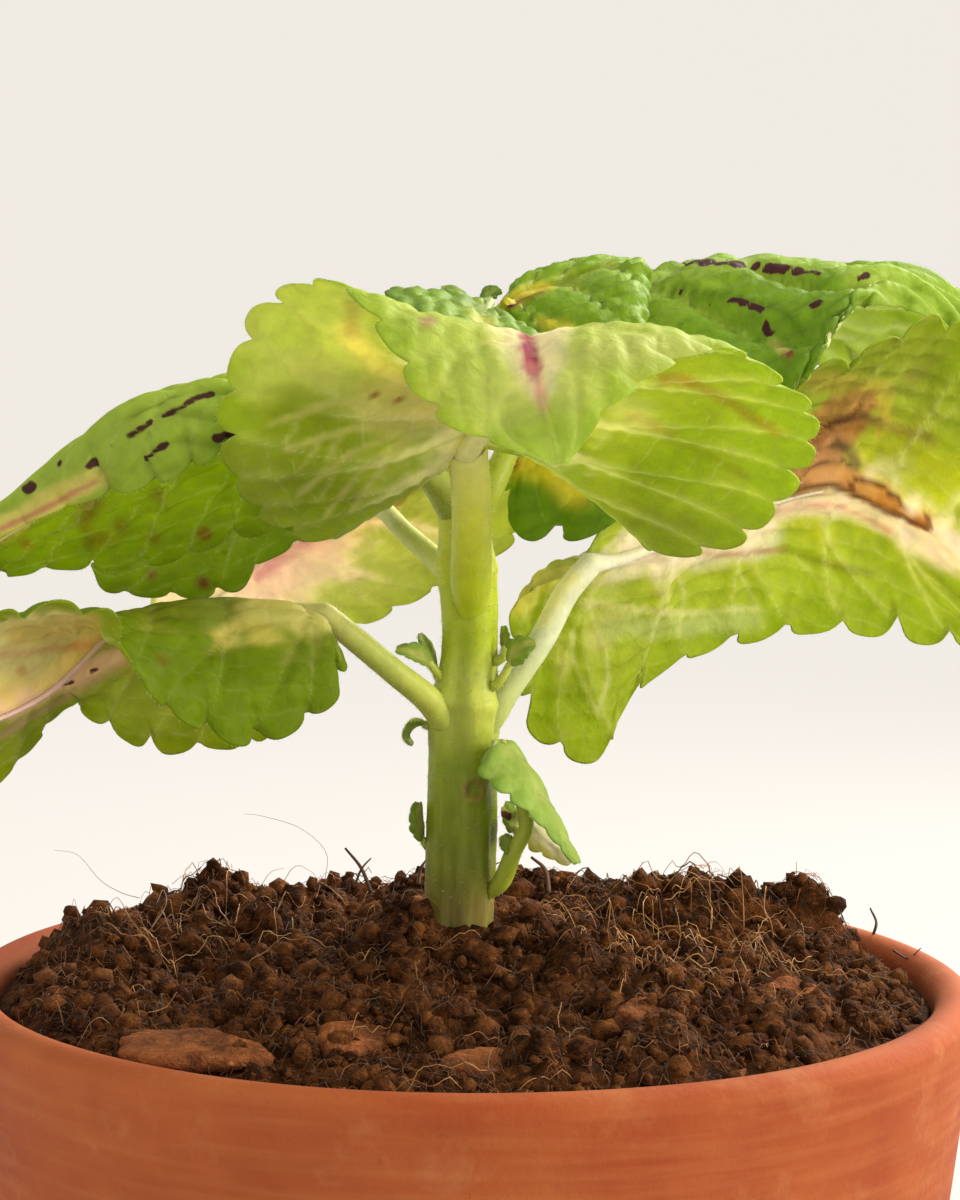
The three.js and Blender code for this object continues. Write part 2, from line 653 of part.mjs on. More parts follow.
function soilHeight(x, y) {
  let z = soilBase;
  for (const { x: cx, y: cy, height, spread } of heaps) {
    z += height * Math.exp(-((x - cx) ** 2 + (y - cy) ** 2) / (spread * spread));
  }
  for (let i = 0; i < soilLumps; i += 1) {
    const away = 51 * Math.sqrt(draw(4 * i + 1));
    const turn = 2 * Math.PI * draw(4 * i + 2);
    const height = 0.5 + 1.5 * draw(4 * i + 3);
    const spread = 2 + 2.5 * draw(4 * i + 4);
    const far = (x - away * Math.cos(turn)) ** 2 + (y - away * Math.sin(turn)) ** 2;
    z += height * Math.exp(-far / (spread * spread));
  }
  return z;
}

function soil(chip) {
  const radius = innerWall(soilEdge) - gap;
  const rings = [];
  const ringAt = (r, height) => Array.from({ length: soilSides }, (_, i) => {
    const turn = (2 * Math.PI * i) / soilSides;
    const x = r * Math.cos(turn);
    const y = r * Math.sin(turn);
    return new THREE.Vector3(x, y, height(x, y));
  });
  const bottom = potFloor + gap;
  rings.push(ringAt(innerWall(potFloor) - floorFillet - 2 * gap, () => bottom));
  rings.push(ringAt(innerWall(bottom + floorFillet) - 2 * gap, () => bottom + floorFillet));
  rings.push(ringAt(radius, () => soilEdge));
  for (let k = soilRings - 1; k > 0; k -= 1) {
    const r = (radius * k) / soilRings;
    const share = Math.min((radius - r) / wallMargin, 1);
    rings.push(ringAt(r, (x, y) => soilEdge + (soilHeight(x, y) - soilEdge) * share));
  }
  const foot = rod(
    curve(sideShoot[0].petiole).getPoints(12).slice(0, 5),
    [1.9, 1.9, 1.8, 1.7, 1.6],
    petioleSides,
  );
  return solid(skin(rings)).subtract(stemWithGap).subtract(solid(foot)).subtract(chip);
}

// A flat flake of bark, thicker in the middle, lying askew in a shallow bed in the soil.
const chipLength = 17;
const chipWidth = 8;
const chipThickness = 2;
const chipPlace = { x: -28.5, y: -40.5, z: 104.6, turn: -0.35, tilt: 0.16 };

function chip(extra) {
  const rings = [-1, -0.55, 0.55, 1].map((level) => {
    const share = Math.abs(level) === 1 ? 0.86 : 1;
    return Array.from({ length: 16 }, (_, i) => {
      const turn = (2 * Math.PI * i) / 16;
      const ragged = 1 + 0.12 * (draw(200 + i) - 0.5);
      return new THREE.Vector3(
        (chipLength / 2 + extra) * share * ragged * Math.sign(Math.cos(turn)) * Math.abs(Math.cos(turn)) ** 0.8,
        (chipWidth / 2 + extra) * share * ragged * Math.sin(turn),
        (chipThickness / 2 + extra) * level,
      );
    });
  });
  const geometry = skin(rings);
  geometry.rotateX(chipPlace.tilt);
  geometry.rotateZ(chipPlace.turn);
  geometry.translate(chipPlace.x, chipPlace.y, chipPlace.z);
  return solid(geometry);
}

// ---------------------------------------------------------------- the plant in its pot

const finishes = {
  terracotta: { color: 0xb9673f, roughness: 0.85, metalness: 0 },
  soil: { color: 0x3a2a20, roughness: 1, metalness: 0 },
  bark: { color: 0x6b4630, roughness: 0.95, metalness: 0 },
  stem: { color: 0x9aa63a, roughness: 0.6, metalness: 0 },
  leaf: { color: 0x8fb63e, roughness: 0.6, metalness: 0 },
  youngLeaf: { color: 0x4f9438, roughness: 0.6, metalness: 0 },
};

const pieces = [
  ['pot', pot(), 'terracotta'],
  ['soil', soil(chip(gap)), 'soil'],
  ['bark_chip', chip(0), 'bark'],
  ['stem', stem(0), 'stem'],
  ['leaf_1_left', leafBody([leaf1Left]), 'leaf'],
  ['leaf_1_right', leafBody([leaf1Right]), 'leaf'],
  ['leaf_2_front', leafBody([leaf2Front]), 'leaf'],
  ['leaf_2_back', leafBody([leaf2Back]), 'leaf'],
  ['leaf_3_left', leafBody([leaf3Left]), 'leaf'],
  ['leaf_3_right', leafBody([leaf3Right]), 'leaf'],
  ['leaf_3_axil', leafBody([leaf3Axil]), 'youngLeaf'],
  ['leaf_4_front', leafBody([leaf4Front]), 'youngLeaf'],
  ['leaf_4_back', leafBody([leaf4Back]), 'youngLeaf'],
  ['tip_bud_front', leafBody([tipBudFront]), 'youngLeaf'],
  ['tip_bud_back', leafBody([tipBudBack]), 'youngLeaf'],
  ['axil_left_front', leafBody([axilLeftFront]), 'youngLeaf'],
  ['axil_left_back', leafBody([axilLeftBack]), 'youngLeaf'],
  ['axil_right_front', leafBody([axilRightFront]), 'youngLeaf'],
  ['axil_right_back', leafBody([axilRightBack]), 'youngLeaf'],
  ['hook_leaf', leafBody([hookLeaf]), 'youngLeaf'],
  ['low_leaf', leafBody([lowLeaf]), 'youngLeaf'],
  ['side_shoot', leafBody(sideShoot), 'youngLeaf'],
];

const coleus = new THREE.Group();
for (const [name, body, finish] of pieces) {
  const mesh = new THREE.Mesh(geometryOf(body), new THREE.MeshStandardMaterial(finishes[finish]));
  mesh.name = name;
  coleus.add(mesh);
}

export default coleus;
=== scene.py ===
# %% [markdown]
# # A young coleus in a terracotta pot
#
# This lesson dresses a solid model of a potted coleus. The solids give every piece its place
# and size. Each cell makes one piece or one finish. The shapes are worked out as whole arrays
# with numpy, in millimetres, and are turned to metres when they become meshes. Sizes are in mm
# everywhere, except inside material nodes, whose distances are in metres.

# %% Load the solids
import math

import bpy
import numpy as np
from mathutils import Matrix


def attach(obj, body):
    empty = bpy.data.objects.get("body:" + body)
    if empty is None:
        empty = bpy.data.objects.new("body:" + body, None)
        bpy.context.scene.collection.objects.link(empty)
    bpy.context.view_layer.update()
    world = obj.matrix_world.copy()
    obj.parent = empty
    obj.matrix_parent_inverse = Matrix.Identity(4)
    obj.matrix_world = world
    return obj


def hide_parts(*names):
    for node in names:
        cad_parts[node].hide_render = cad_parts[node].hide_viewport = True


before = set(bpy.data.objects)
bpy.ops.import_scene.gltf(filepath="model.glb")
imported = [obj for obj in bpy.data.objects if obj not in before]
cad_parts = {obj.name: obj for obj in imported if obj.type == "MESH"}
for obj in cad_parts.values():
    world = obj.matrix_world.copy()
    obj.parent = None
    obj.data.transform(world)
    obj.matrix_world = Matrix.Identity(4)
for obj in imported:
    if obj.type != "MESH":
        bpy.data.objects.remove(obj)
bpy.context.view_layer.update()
MM = 0.001


# %% [markdown]
# ## Small tools
#
# A mesh here is an array of points and an array of faces. Values that change over a surface,
# such as its tint or how far a point lies from a vein, are stored on the points as
# attributes, and the materials read them from there.

# %% Make a piece from arrays
def make_piece(name, points, faces, material, node_slot, fields=None, flat=False):
    """A mesh object of points in mm. Faces is one array of quads or a list of such arrays."""
    parts = faces if isinstance(faces, list) else [faces]
    corners = np.concatenate([part.ravel() for part in parts]).astype(np.int32)
    sizes = np.concatenate([np.full(len(part), part.shape[1]) for part in parts])
    starts = np.concatenate([[0], np.cumsum(sizes)[:-1]])
    mesh = bpy.data.meshes.new(name)
    mesh.vertices.add(len(points))
    mesh.vertices.foreach_set("co", (np.asarray(points, float) * MM).astype(np.float32).ravel())
    mesh.loops.add(len(corners))
    mesh.loops.foreach_set("vertex_index", corners)
    mesh.polygons.add(len(sizes))
    mesh.polygons.foreach_set("loop_start", starts.astype(np.int32))
    mesh.update(calc_edges=True)
    mesh.validate()
    for key, values in (fields or {}).items():
        values = np.asarray(values, np.float32)
        kind = "FLOAT" if values.ndim == 1 else "FLOAT_COLOR"
        layer = mesh.attributes.new(key, kind, "POINT")
        layer.data.foreach_set("value" if values.ndim == 1 else "color", values.ravel())
    if not flat:
        mesh.shade_smooth()
    mesh.materials.append(material)
    piece = bpy.data.objects.new(name, mesh)
    bpy.context.scene.collection.objects.link(piece)
    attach(piece, "root")
    print(name, "points", len(points), "faces", len(sizes))
    return piece


def grid_quads(across, along, wrap=False):
    """Quads of a grid whose point (j, i) has the number j * along + i."""
    j, i = np.meshgrid(np.arange(across if wrap else across - 1), np.arange(along - 1), indexing="ij")
    k = (j + 1) % across
    quads = np.stack([j * along + i, k * along + i, k * along + i + 1, j * along + i + 1], -1)
    return quads.reshape(-1, 4)


def end_fans(sides, count):
    """Triangles that close both ends of a tube of sides by count points. The two middle points
    come after all the others."""
    j = np.arange(sides)
    k = (j + 1) % sides
    return np.vstack([
        np.stack([np.full(sides, sides * count), k * count, j * count], -1),
        np.stack([np.full(sides, sides * count + 1), j * count + count - 1, k * count + count - 1], -1),
    ])


def shift(parts, count):
    """The same faces for points that come after count others."""
    return [part + count for part in parts]


# %% Smooth paths and smooth noise
def bell(value, width):
    """A bell curve: exp(-(value / width)^2)."""
    return np.exp(-((value / width) ** 2))


def ease(low, high, value):
    """Smooth step: 3u^2 - 2u^3 with u = (value - low) / (high - low)."""
    u = np.clip((value - low) / (high - low), 0, 1)
    return u * u * (3 - 2 * u)


def smooth_path(knots, at):
    """Uniform Catmull-Rom curve at places 0 to 1. Between p1 and p2 the point is half of
    2 p1 + (p2 - p0) u + (2 p0 - 5 p1 + 4 p2 - p3) u^2 + (3 p1 - p0 - 3 p2 + p3) u^3."""
    p = np.asarray(knots, float)
    p = np.vstack([2 * p[0] - p[1], p, 2 * p[-1] - p[-2]])
    x = np.clip(at, 0, 1) * (len(p) - 3)
    k = np.minimum(np.floor(x).astype(int), len(p) - 4)
    u = (x - k)[:, None]
    a, b, c, d = p[k], p[k + 1], p[k + 2], p[k + 3]
    return 0.5 * (2 * b + (c - a) * u + (2 * a - 5 * b + 4 * c - d) * u**2 + (3 * b - a - 3 * c + d) * u**3)


def unit(vectors):
    """Each vector divided by its length."""
    return vectors / np.maximum(np.linalg.norm(vectors, axis=-1, keepdims=True), 1e-9)


def mix_bits(cells, seed):
    """A repeatable value between 0 and 1 for each row of whole numbers, by multiply and shift."""
    keys = np.array([374761393, 668265263, 2246822519], np.uint64)[: cells.shape[-1]]
    h = (cells.astype(np.int64).astype(np.uint64) * keys).sum(-1) + np.uint64(seed * 3266489917)
    h = (h ^ (h >> np.uint64(13))) * np.uint64(1274126177)
    return ((h ^ (h >> np.uint64(16))) & np.uint64(0xFFFFFF)).astype(float) / 0xFFFFFF


def noise(points, size, seed=1):
    """Value noise from -1 to 1 with features of about size mm: random values on a lattice,
    blended with the weight 3u^2 - 2u^3 in each direction."""
    p = np.asarray(points, float) / size
    base = np.floor(p)
    u = p - base
    u = u * u * (3 - 2 * u)
    total = 0
    for corner in np.ndindex(*(2,) * p.shape[-1]):
        c = np.array(corner)
        total = total + mix_bits(base + c, seed) * np.prod(np.where(c, u, 1 - u), -1)
    return 2 * total - 1


def layered_noise(points, size, layers=4, seed=1):
    """Noise at size, size / 2, size / 4 and so on, each layer half as strong."""
    return sum(0.5**k * noise(points, size / 2**k, seed + k) for k in range(layers))


# %% Colours and shader nodes
def colour(hex_code):
    """Linear RGBA of an sRGB hex value: c / 12.92 up to 0.04045, else ((c + 0.055) / 1.055) ^ 2.4."""
    c = np.array([int(hex_code[k : k + 2], 16) for k in (1, 3, 5)]) / 255
    linear = np.where(c <= 0.04045, c / 12.92, ((c + 0.055) / 1.055) ** 2.4)
    return np.append(linear, 1.0)


def blend(base, tint, share):
    """base moved towards tint by share, for arrays of colours."""
    share = np.clip(share, 0, 1)[..., None]
    return base * (1 - share) + np.asarray(tint) * share


def add(tree, kind, inputs=None, **settings):
    """Adds a node: settings become its properties, and each input takes a value or a link."""
    made = tree.nodes.new(kind)
    for key, value in settings.items():
        setattr(made, key, value)
    for key, value in (inputs or {}).items():
        if isinstance(value, bpy.types.NodeSocket):
            tree.links.new(value, made.inputs[key])
        else:
            made.inputs[key].default_value = value
    return made


def new_material(name):
    """An empty node material and its tree."""
    material = bpy.data.materials.new(name)
    material.use_nodes = True
    material.node_tree.nodes.clear()
    return material, material.node_tree


def per_mm(size):
    """Texture scale on Object coordinates, which are in metres, for features of size mm."""
    return 1 / (size * MM)


def noise_share(tree, place, size, detail, roughness=0.5):
    """Fractal noise from 0 to 1 with features of about size mm, as a socket."""
    inputs = {"Vector": place, "Scale": per_mm(size), "Detail": detail, "Roughness": roughness}
    return add(tree, "ShaderNodeTexNoise", inputs).outputs[0]


def cell_walls(tree, place, size):
    """Distance to the nearest wall between cells of about size mm, as a share of that size."""
    inputs = {"Vector": place, "Scale": per_mm(size)}
    return add(tree, "ShaderNodeTexVoronoi", inputs, feature="DISTANCE_TO_EDGE").outputs[0]


def carried(tree, value, low=0.0, high=1.0, to_low=0.0, to_high=1.0, smooth=False):
    """A socket's range low to high carried to to_low to to_high, and held at both ends."""
    inputs = {"Value": value, "From Min": low, "From Max": high, "To Min": to_low, "To Max": to_high}
    kind = "SMOOTHSTEP" if smooth else "LINEAR"
    return add(tree, "ShaderNodeMapRange", inputs, interpolation_type=kind).outputs[0]


def mixed(tree, share, under, over):
    """The colour under moved towards over by share. Each is a socket or a hex value."""
    ends = [c if isinstance(c, bpy.types.NodeSocket) else tuple(colour(c)) for c in (under, over)]
    return add(tree, "ShaderNodeMix", {0: share, 6: ends[0], 7: ends[1]}, data_type="RGBA").outputs[2]


def arithmetic(tree, kind, *values):
    """A Math node of this kind over the given sockets or numbers."""
    return add(tree, "ShaderNodeMath", dict(enumerate(values)), operation=kind).outputs[0]


def surface(tree, shader):
    """Makes this shader the look of the material's surface."""
    add(tree, "ShaderNodeOutputMaterial", {"Surface": shader.outputs[0]})


# %% [markdown]
# ## The camera and the light
#
# The camera stands a third of a metre from the stem, a hand's width above the soil, and
# looks slightly down through a long lens. The picture is 960 by 1200 with a focal length of
# 2760 of its pixels. The sensor width is that of the long side.

# %% Camera
PICTURE = (960, 1200)
MIDDLE = (480, 600)
FOCAL = 2760
SENSOR = 36
EYE = np.array([0, -322.644, 174.287])
PITCH, YAW, ROLL = (math.radians(a) for a in (4.4846, 0.2284, -0.6))

ahead = np.array([math.sin(YAW) * math.cos(PITCH), math.cos(YAW) * math.cos(PITCH), -math.sin(PITCH)])
level = unit(np.cross(ahead, [0, 0, 1]))
upright = np.cross(level, ahead)
right = level * math.cos(ROLL) - upright * math.sin(ROLL)
upward = level * math.sin(ROLL) + upright * math.cos(ROLL)


def picture_place(points):
    """Where points in mm fall in the picture, in its pixels from the top left."""
    d = np.asarray(points, float) - EYE
    depth = d @ ahead
    return np.stack([MIDDLE[0] + FOCAL * (d @ right) / depth, MIDDLE[1] - FOCAL * (d @ upward) / depth], -1)


def from_picture(u, v, y):
    """The point on the plane at y mm that falls on pixel (u, v)."""
    ray = ahead * FOCAL + right * (u - MIDDLE[0]) + upward * (MIDDLE[1] - v)
    return EYE + ray * (y - EYE[1]) / ray[1]


lens = bpy.data.cameras.new("camera")
lens.sensor_width = SENSOR
lens.lens = SENSOR * FOCAL / PICTURE[1]
lens.clip_start, lens.clip_end = 0.01, 20
camera = bpy.data.objects.new("camera", lens)
bpy.context.scene.collection.objects.link(camera)
turn = np.eye(4)
turn[:3, 0], turn[:3, 1], turn[:3, 2], turn[:3, 3] = right, upward, -ahead, EYE * MM
camera.matrix_world = Matrix(turn.tolist())
bpy.context.scene.camera = camera
bpy.context.scene.view_settings.view_transform = "Standard"
print("camera at", EYE, "lens", round(lens.lens, 1))


# %% [markdown]
# A pale sky lights everything softly. A large lamp behind the right shoulder of the plant
# makes its thin leaves glow, and a second lamp on the right models the pot. The backdrop is
# paper that is lit by lamps of its own, so it gives off a little light here.

# %% Light
world = bpy.data.worlds.new("soft studio")
bpy.context.scene.world = world
world.use_nodes = True
sky = world.node_tree
sky.nodes.clear()
sky_light = add(sky, "ShaderNodeBackground", {"Color": tuple(colour("#F6F1EA")), "Strength": 1.2})
add(sky, "ShaderNodeOutputWorld", {"Surface": sky_light.outputs[0]})


def soft_lamp(name, place, target, size, power, tint):
    """A square area lamp at place, turned so that its -Z axis points at target, all in mm."""
    data = bpy.data.lights.new(name, "AREA")
    data.size, data.energy, data.color = size * MM, power, tuple(colour(tint)[:3])
    lamp = bpy.data.objects.new(name, data)
    bpy.context.scene.collection.objects.link(lamp)
    z = unit(np.array(place, float) - np.array(target, float))
    x = unit(np.cross([0, 0, 1], z))
    m = np.eye(4)
    m[:3, 0], m[:3, 1], m[:3, 2], m[:3, 3] = x, np.cross(z, x), z, np.array(place) * MM
    lamp.matrix_world = Matrix(m.tolist())


soft_lamp("back lamp", (520, 620, 640), (10, 0, 150), 420, 15, "#FFF8EC")
soft_lamp("key lamp", (860, -240, 420), (0, 0, 100), 420, 9, "#FFF6EA")
print("lamps: 2")


# %% Studio floor that curves up into a wall
def turned(profile, sides):
    """A profile of (radius, height) carried round the Z axis: (r cos a, r sin a, z)."""
    p = np.asarray(profile, float)
    a = np.linspace(0, 2 * np.pi, sides, endpoint=False)[:, None]
    return np.stack([p[:, 0] * np.cos(a), p[:, 0] * np.sin(a), np.broadcast_to(p[:, 1], (sides, len(p)))], -1)


FLOOR_RADIUS, BEND_RADIUS, WALL_TOP, STUDIO_SIDES = 1600, 700, 2600, 96
bend = np.linspace(0, np.pi / 2, 24)
studio_profile = np.vstack([
    [[0.01, 0], [300, 0], [900, 0]],
    np.stack([FLOOR_RADIUS + BEND_RADIUS * np.sin(bend), BEND_RADIUS * (1 - np.cos(bend))], -1),
    [[FLOOR_RADIUS + BEND_RADIUS, WALL_TOP]],
])
studio_material, tree = new_material("matt studio paper")
surface(tree, add(tree, "ShaderNodeBsdfPrincipled", {
    "Base Color": tuple(colour("#595855")), "Roughness": 0.95, "Specular IOR Level": 0.05,
    "Emission Color": tuple(colour("#F4EFE8")), "Emission Strength": 0.83,
}))
studio_points = turned(studio_profile, STUDIO_SIDES).reshape(-1, 3) * MM
studio_quads = grid_quads(STUDIO_SIDES, len(studio_profile), wrap=True)[:, ::-1]
studio_mesh = bpy.data.meshes.new("studio")
studio_mesh.from_pydata(studio_points.tolist(), [], studio_quads.tolist())
studio_mesh.shade_smooth()
studio_mesh.materials.append(studio_material)
studio = bpy.data.objects.new("studio", studio_mesh)
bpy.context.scene.collection.objects.link(studio)
studio.visible_shadow = False
studio.visible_diffuse = False
print("studio radius 2.3 m")


# %% [markdown]
# ## The pot
#
# A terracotta pot is red clay pressed or thrown on a wheel and fired once with no glaze. It
# stays matt and porous, with fine grit, faint turning lines and soft clouds of paler and
# darker clay. It is one profile carried round the axis. The rim is a half circle.

# %% Terracotta
terracotta, tree = new_material("fired terracotta, unglazed")
here = add(tree, "ShaderNodeTexCoord").outputs["Object"]
clouds = noise_share(tree, here, 28, 4, 0.6)
stretch = add(tree, "ShaderNodeMapping", {"Vector": here, "Scale": (1, 1, 14)})
lines = noise_share(tree, stretch.outputs[0], 22, 3)
grit = noise_share(tree, here, 0.9, 3, 0.7)
dust = noise_share(tree, here, 9, 4, 0.7)
damp = add(tree, "ShaderNodeAttribute", attribute_name="damp").outputs["Fac"]
clay = mixed(tree, carried(tree, clouds, 0.35, 0.68), "#8C3C15", "#A05224")
clay = mixed(tree, carried(tree, lines, 0.45, 0.7, to_high=0.35), clay, "#A96234")
clay = mixed(tree, carried(tree, grit, 0.62, 0.8, to_high=0.5), clay, "#763214")
clay = mixed(tree, carried(tree, dust, 0.55, 0.75, to_high=0.25), clay, "#B68052")
clay = mixed(tree, damp, clay, "#5E3014")
height = arithmetic(tree, "ADD", grit, lines)
bump = add(tree, "ShaderNodeBump", {"Height": height, "Strength": 0.35, "Distance": 0.0003})
surface(tree, add(tree, "ShaderNodeBsdfPrincipled", {
    "Base Color": clay, "Roughness": carried(tree, clouds, to_low=0.72, to_high=0.92), "IOR": 1.5,
    "Specular IOR Level": 0.2, "Normal": bump.outputs[0],
}))
print("material:", terracotta.name)

# %% Pot
POT_HEIGHT, RIM_RADIUS, BASE_RADIUS, WALL, FLOOR, DRAIN = 105, 60, 47.5, 5, 6, 5
ROUND, POT_SIDES = 2.5, 240


def outer_wall(z):
    """Outside radius of the pot at height z."""
    return BASE_RADIUS + (RIM_RADIUS - BASE_RADIUS) * z / POT_HEIGHT


def wall_line(z0, z1, count, inset):
    """Points up the tapered wall, moved in by inset."""
    z = np.linspace(z0, z1, count)
    return np.stack([outer_wall(z) - inset, z], -1)


half_turn = np.linspace(0, np.pi, 17)
quarter = np.linspace(0, np.pi / 2, 8)
rim_middle = outer_wall(POT_HEIGHT - ROUND) - ROUND
pot_profile = np.vstack([
    [[DRAIN, 0.0], [BASE_RADIUS * 0.5, 0.0]],
    np.stack([outer_wall(ROUND) - ROUND * (1 - np.sin(quarter)), ROUND * (1 - np.cos(quarter))], -1),
    wall_line(6, 98, 30, 0),
    np.stack([rim_middle + ROUND * np.cos(half_turn), POT_HEIGHT - ROUND + ROUND * np.sin(half_turn)], -1),
    wall_line(96, 12, 12, WALL),
    [[outer_wall(FLOOR) - WALL - 4, FLOOR], [DRAIN, FLOOR]],
])
pot_points = turned(pot_profile, POT_SIDES)
ring = np.arctan2(pot_points[..., 1], pot_points[..., 0])
sway = 0.12 * np.sin(3 * ring + 1) + 0.08 * np.sin(7 * ring + 2)
lift = np.clip((pot_points[..., 2] - 60) / 45, 0, 1)
pot_points[..., 0] += sway * lift * np.cos(ring)
pot_points[..., 1] += sway * lift * np.sin(ring)
pot_points = pot_points.reshape(-1, 3)
inside = np.hypot(pot_points[:, 0], pot_points[:, 1]) < outer_wall(pot_points[:, 2]) - 3.2
damp_band = np.clip(1 - (pot_points[:, 2] - 101.5) / ROUND + 0.5 * noise(pot_points, 6, 3), 0, 1)
damp_band = damp_band * inside * 0.8
pot_quads = grid_quads(POT_SIDES, len(pot_profile), wrap=True)
first = np.arange(POT_SIDES) * len(pot_profile)
last, beside = first + len(pot_profile) - 1, np.roll(first, -1)
drain_quads = np.stack([last, np.roll(last, -1), beside, first], -1)
pot = make_piece(
    "terracotta_pot", pot_points, np.vstack([pot_quads, drain_quads]), terracotta, "terracotta",
    {"damp": damp_band},
)
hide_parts("pot")


# %% [markdown]
# ## The soil
#
# Potting soil is peat and coir: dark crumbs, reddish lumps and pale straw-like fibres. The
# ground is a sheet of points on rings whose height is a sum of bell-shaped heaps, lumps and
# layered noise. Loose crumbs, fibres and twigs lie on it as pieces of their own.

# %% Soil height
HEAPS = [
    (-0.8, 1, 7.4, 17), (27, 21, 7.6, 13), (43, 21, 6.4, 6), (-30, 21, 6.4, 13), (-44, 3, 4.6, 8),
    (4, 34, 4.6, 15), (24, -22, 3.2, 15), (-14, -26, 2.2, 12),
]
SOIL_BASE, SOIL_EDGE, SOIL_RADIUS = 103.6, 102.2, 54.3
STEM_FOOT = (-0.8, 0)


def sine_draw(n):
    """A repeatable draw between 0 and 1: the fraction of 43758.5453 sin(12.9898 n)."""
    s = np.sin(n * 12.9898) * 43758.5453
    return s - np.floor(s)


lump = np.arange(90)
lump_away, lump_turn = 51 * np.sqrt(sine_draw(4 * lump + 1)), 2 * np.pi * sine_draw(4 * lump + 2)
lump_height, lump_spread = 0.7 + 1.7 * sine_draw(4 * lump + 3), 2 + 2.5 * sine_draw(4 * lump + 4)
lump_x, lump_y = lump_away * np.cos(lump_turn), lump_away * np.sin(lump_turn)


def soil_height(x, y, fine=True):
    """Base height, plus each heap and lump as height times exp(-distance^2 / spread^2), plus
    crumbly noise, all faded out to the edge height over the last 5 mm before the wall."""
    z = np.full(x.shape, SOIL_BASE)
    for cx, cy, high, spread in HEAPS:
        z = z + high * np.exp(-((x - cx) ** 2 + (y - cy) ** 2) / spread**2)
    far = (x[..., None] - lump_x) ** 2 + (y[..., None] - lump_y) ** 2
    z = z + (lump_height * np.exp(-far / lump_spread**2)).sum(-1)
    if fine:
        flat = np.stack([x, y], -1)
        crumbs = 1 - np.abs(layered_noise(flat, 4.2, 3, 11))
        z = z + 1.3 * (crumbs - 0.6) + 0.8 * layered_noise(flat, 1.6, 2, 17)
    share = np.clip((SOIL_RADIUS - np.hypot(x, y)) / 5, 0, 1)
    return SOIL_EDGE + (z - SOIL_EDGE) * share


# %% Peat and coir material
def peat_material(name, dark, warm, pale, size):
    """Matt crumbs whose colour wanders between a dark, a warm and a pale tone."""
    material, tree = new_material(name)
    here = add(tree, "ShaderNodeTexCoord").outputs["Object"]
    patch = noise_share(tree, here, size * 4, 4, 0.7)
    crumb = noise_share(tree, here, size, 3, 0.75)
    long = add(tree, "ShaderNodeMapping", {"Vector": here, "Rotation": (0.4, 0.3, 0.9), "Scale": (1, 7, 4)})
    thread = noise_share(tree, long.outputs[0], size * 2, 3)
    tint = mixed(tree, carried(tree, patch, 0.42, 0.66), dark, warm)
    tint = mixed(tree, carried(tree, thread, 0.6, 0.75, to_high=0.6), tint, pale)
    bump = add(tree, "ShaderNodeBump", {"Height": crumb, "Strength": 0.9, "Distance": 0.0009})
    surface(tree, add(tree, "ShaderNodeBsdfPrincipled", {
        "Base Color": tint, "Roughness": 0.95, "Specular IOR Level": 0.08, "Normal": bump.outputs[0],
    }))
    return material


peat = peat_material("moist peat and coir", "#241204", "#5C3416", "#84562E", 1.2)
coir_lumps = peat_material("crumbs of peat", "#2C1608", "#70431F", "#966638", 0.8)
print("materials:", peat.name, coir_lumps.name)

# %% Soil
RINGS, SPOKES, UNDER_RADIUS, UNDERSIDE = 122, 300, 54.2, 99
rings = SOIL_RADIUS * np.linspace(0.002, 1, RINGS)
spokes = np.linspace(0, 2 * np.pi, SPOKES, endpoint=False)[:, None]
soil_x, soil_y = rings * np.cos(spokes), rings * np.sin(spokes)
soil_z = soil_height(soil_x, soil_y)
away_from_stem = np.hypot(soil_x - STEM_FOOT[0], soil_y)
foot_level = 112.6 + 0.1 * away_from_stem
soil_z = np.where(away_from_stem < 9, np.minimum(soil_z, foot_level), soil_z)
under_x, under_y = UNDER_RADIUS * np.cos(spokes), UNDER_RADIUS * np.sin(spokes)
under_z = np.full_like(under_x, UNDERSIDE)
soil_points = np.concatenate([
    np.stack([soil_x, soil_y, soil_z], -1),
    np.stack([under_x, under_y, under_z], -1),
    np.stack([under_x * 0.01, under_y * 0.01, under_z], -1),
], 1)
soil_quads = grid_quads(SPOKES, RINGS + 2, wrap=True)
soil = make_piece("potting_soil", soil_points.reshape(-1, 3), soil_quads, peat, "soil")
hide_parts("soil")


# %% [markdown]
# Crumbs are small lumps with twelve corners each, all of them one mesh. Their places are
# drawn from a seeded generator, and each one sinks a little into the ground under it.

# %% Crumbs
GOLDEN = (1 + 5**0.5) / 2
twelve = unit(np.array([
    (-1, GOLDEN, 0), (1, GOLDEN, 0), (-1, -GOLDEN, 0), (1, -GOLDEN, 0), (0, -1, GOLDEN), (0, 1, GOLDEN),
    (0, -1, -GOLDEN), (0, 1, -GOLDEN), (GOLDEN, 0, -1), (GOLDEN, 0, 1), (-GOLDEN, 0, -1), (-GOLDEN, 0, 1),
], float))
twenty = np.array([
    (0, 11, 5), (0, 5, 1), (0, 1, 7), (0, 7, 10), (0, 10, 11), (1, 5, 9), (5, 11, 4), (11, 10, 2),
    (10, 7, 6), (7, 1, 8), (3, 9, 4), (3, 4, 2), (3, 2, 6), (3, 6, 8), (3, 8, 9), (4, 9, 5), (2, 4, 11),
    (6, 2, 10), (8, 6, 7), (9, 8, 1),
])


def random_turns(draw, count):
    """Rotation matrices from normalised random quaternions (w, x, y, z)."""
    w, x, y, z = unit(draw.normal(size=(count, 4))).T
    return np.stack([
        1 - 2 * (y * y + z * z), 2 * (x * y - z * w), 2 * (x * z + y * w),
        2 * (x * y + z * w), 1 - 2 * (x * x + z * z), 2 * (y * z - x * w),
        2 * (x * z - y * w), 2 * (y * z + x * w), 1 - 2 * (x * x + y * y),
    ], -1).reshape(-1, 3, 3)


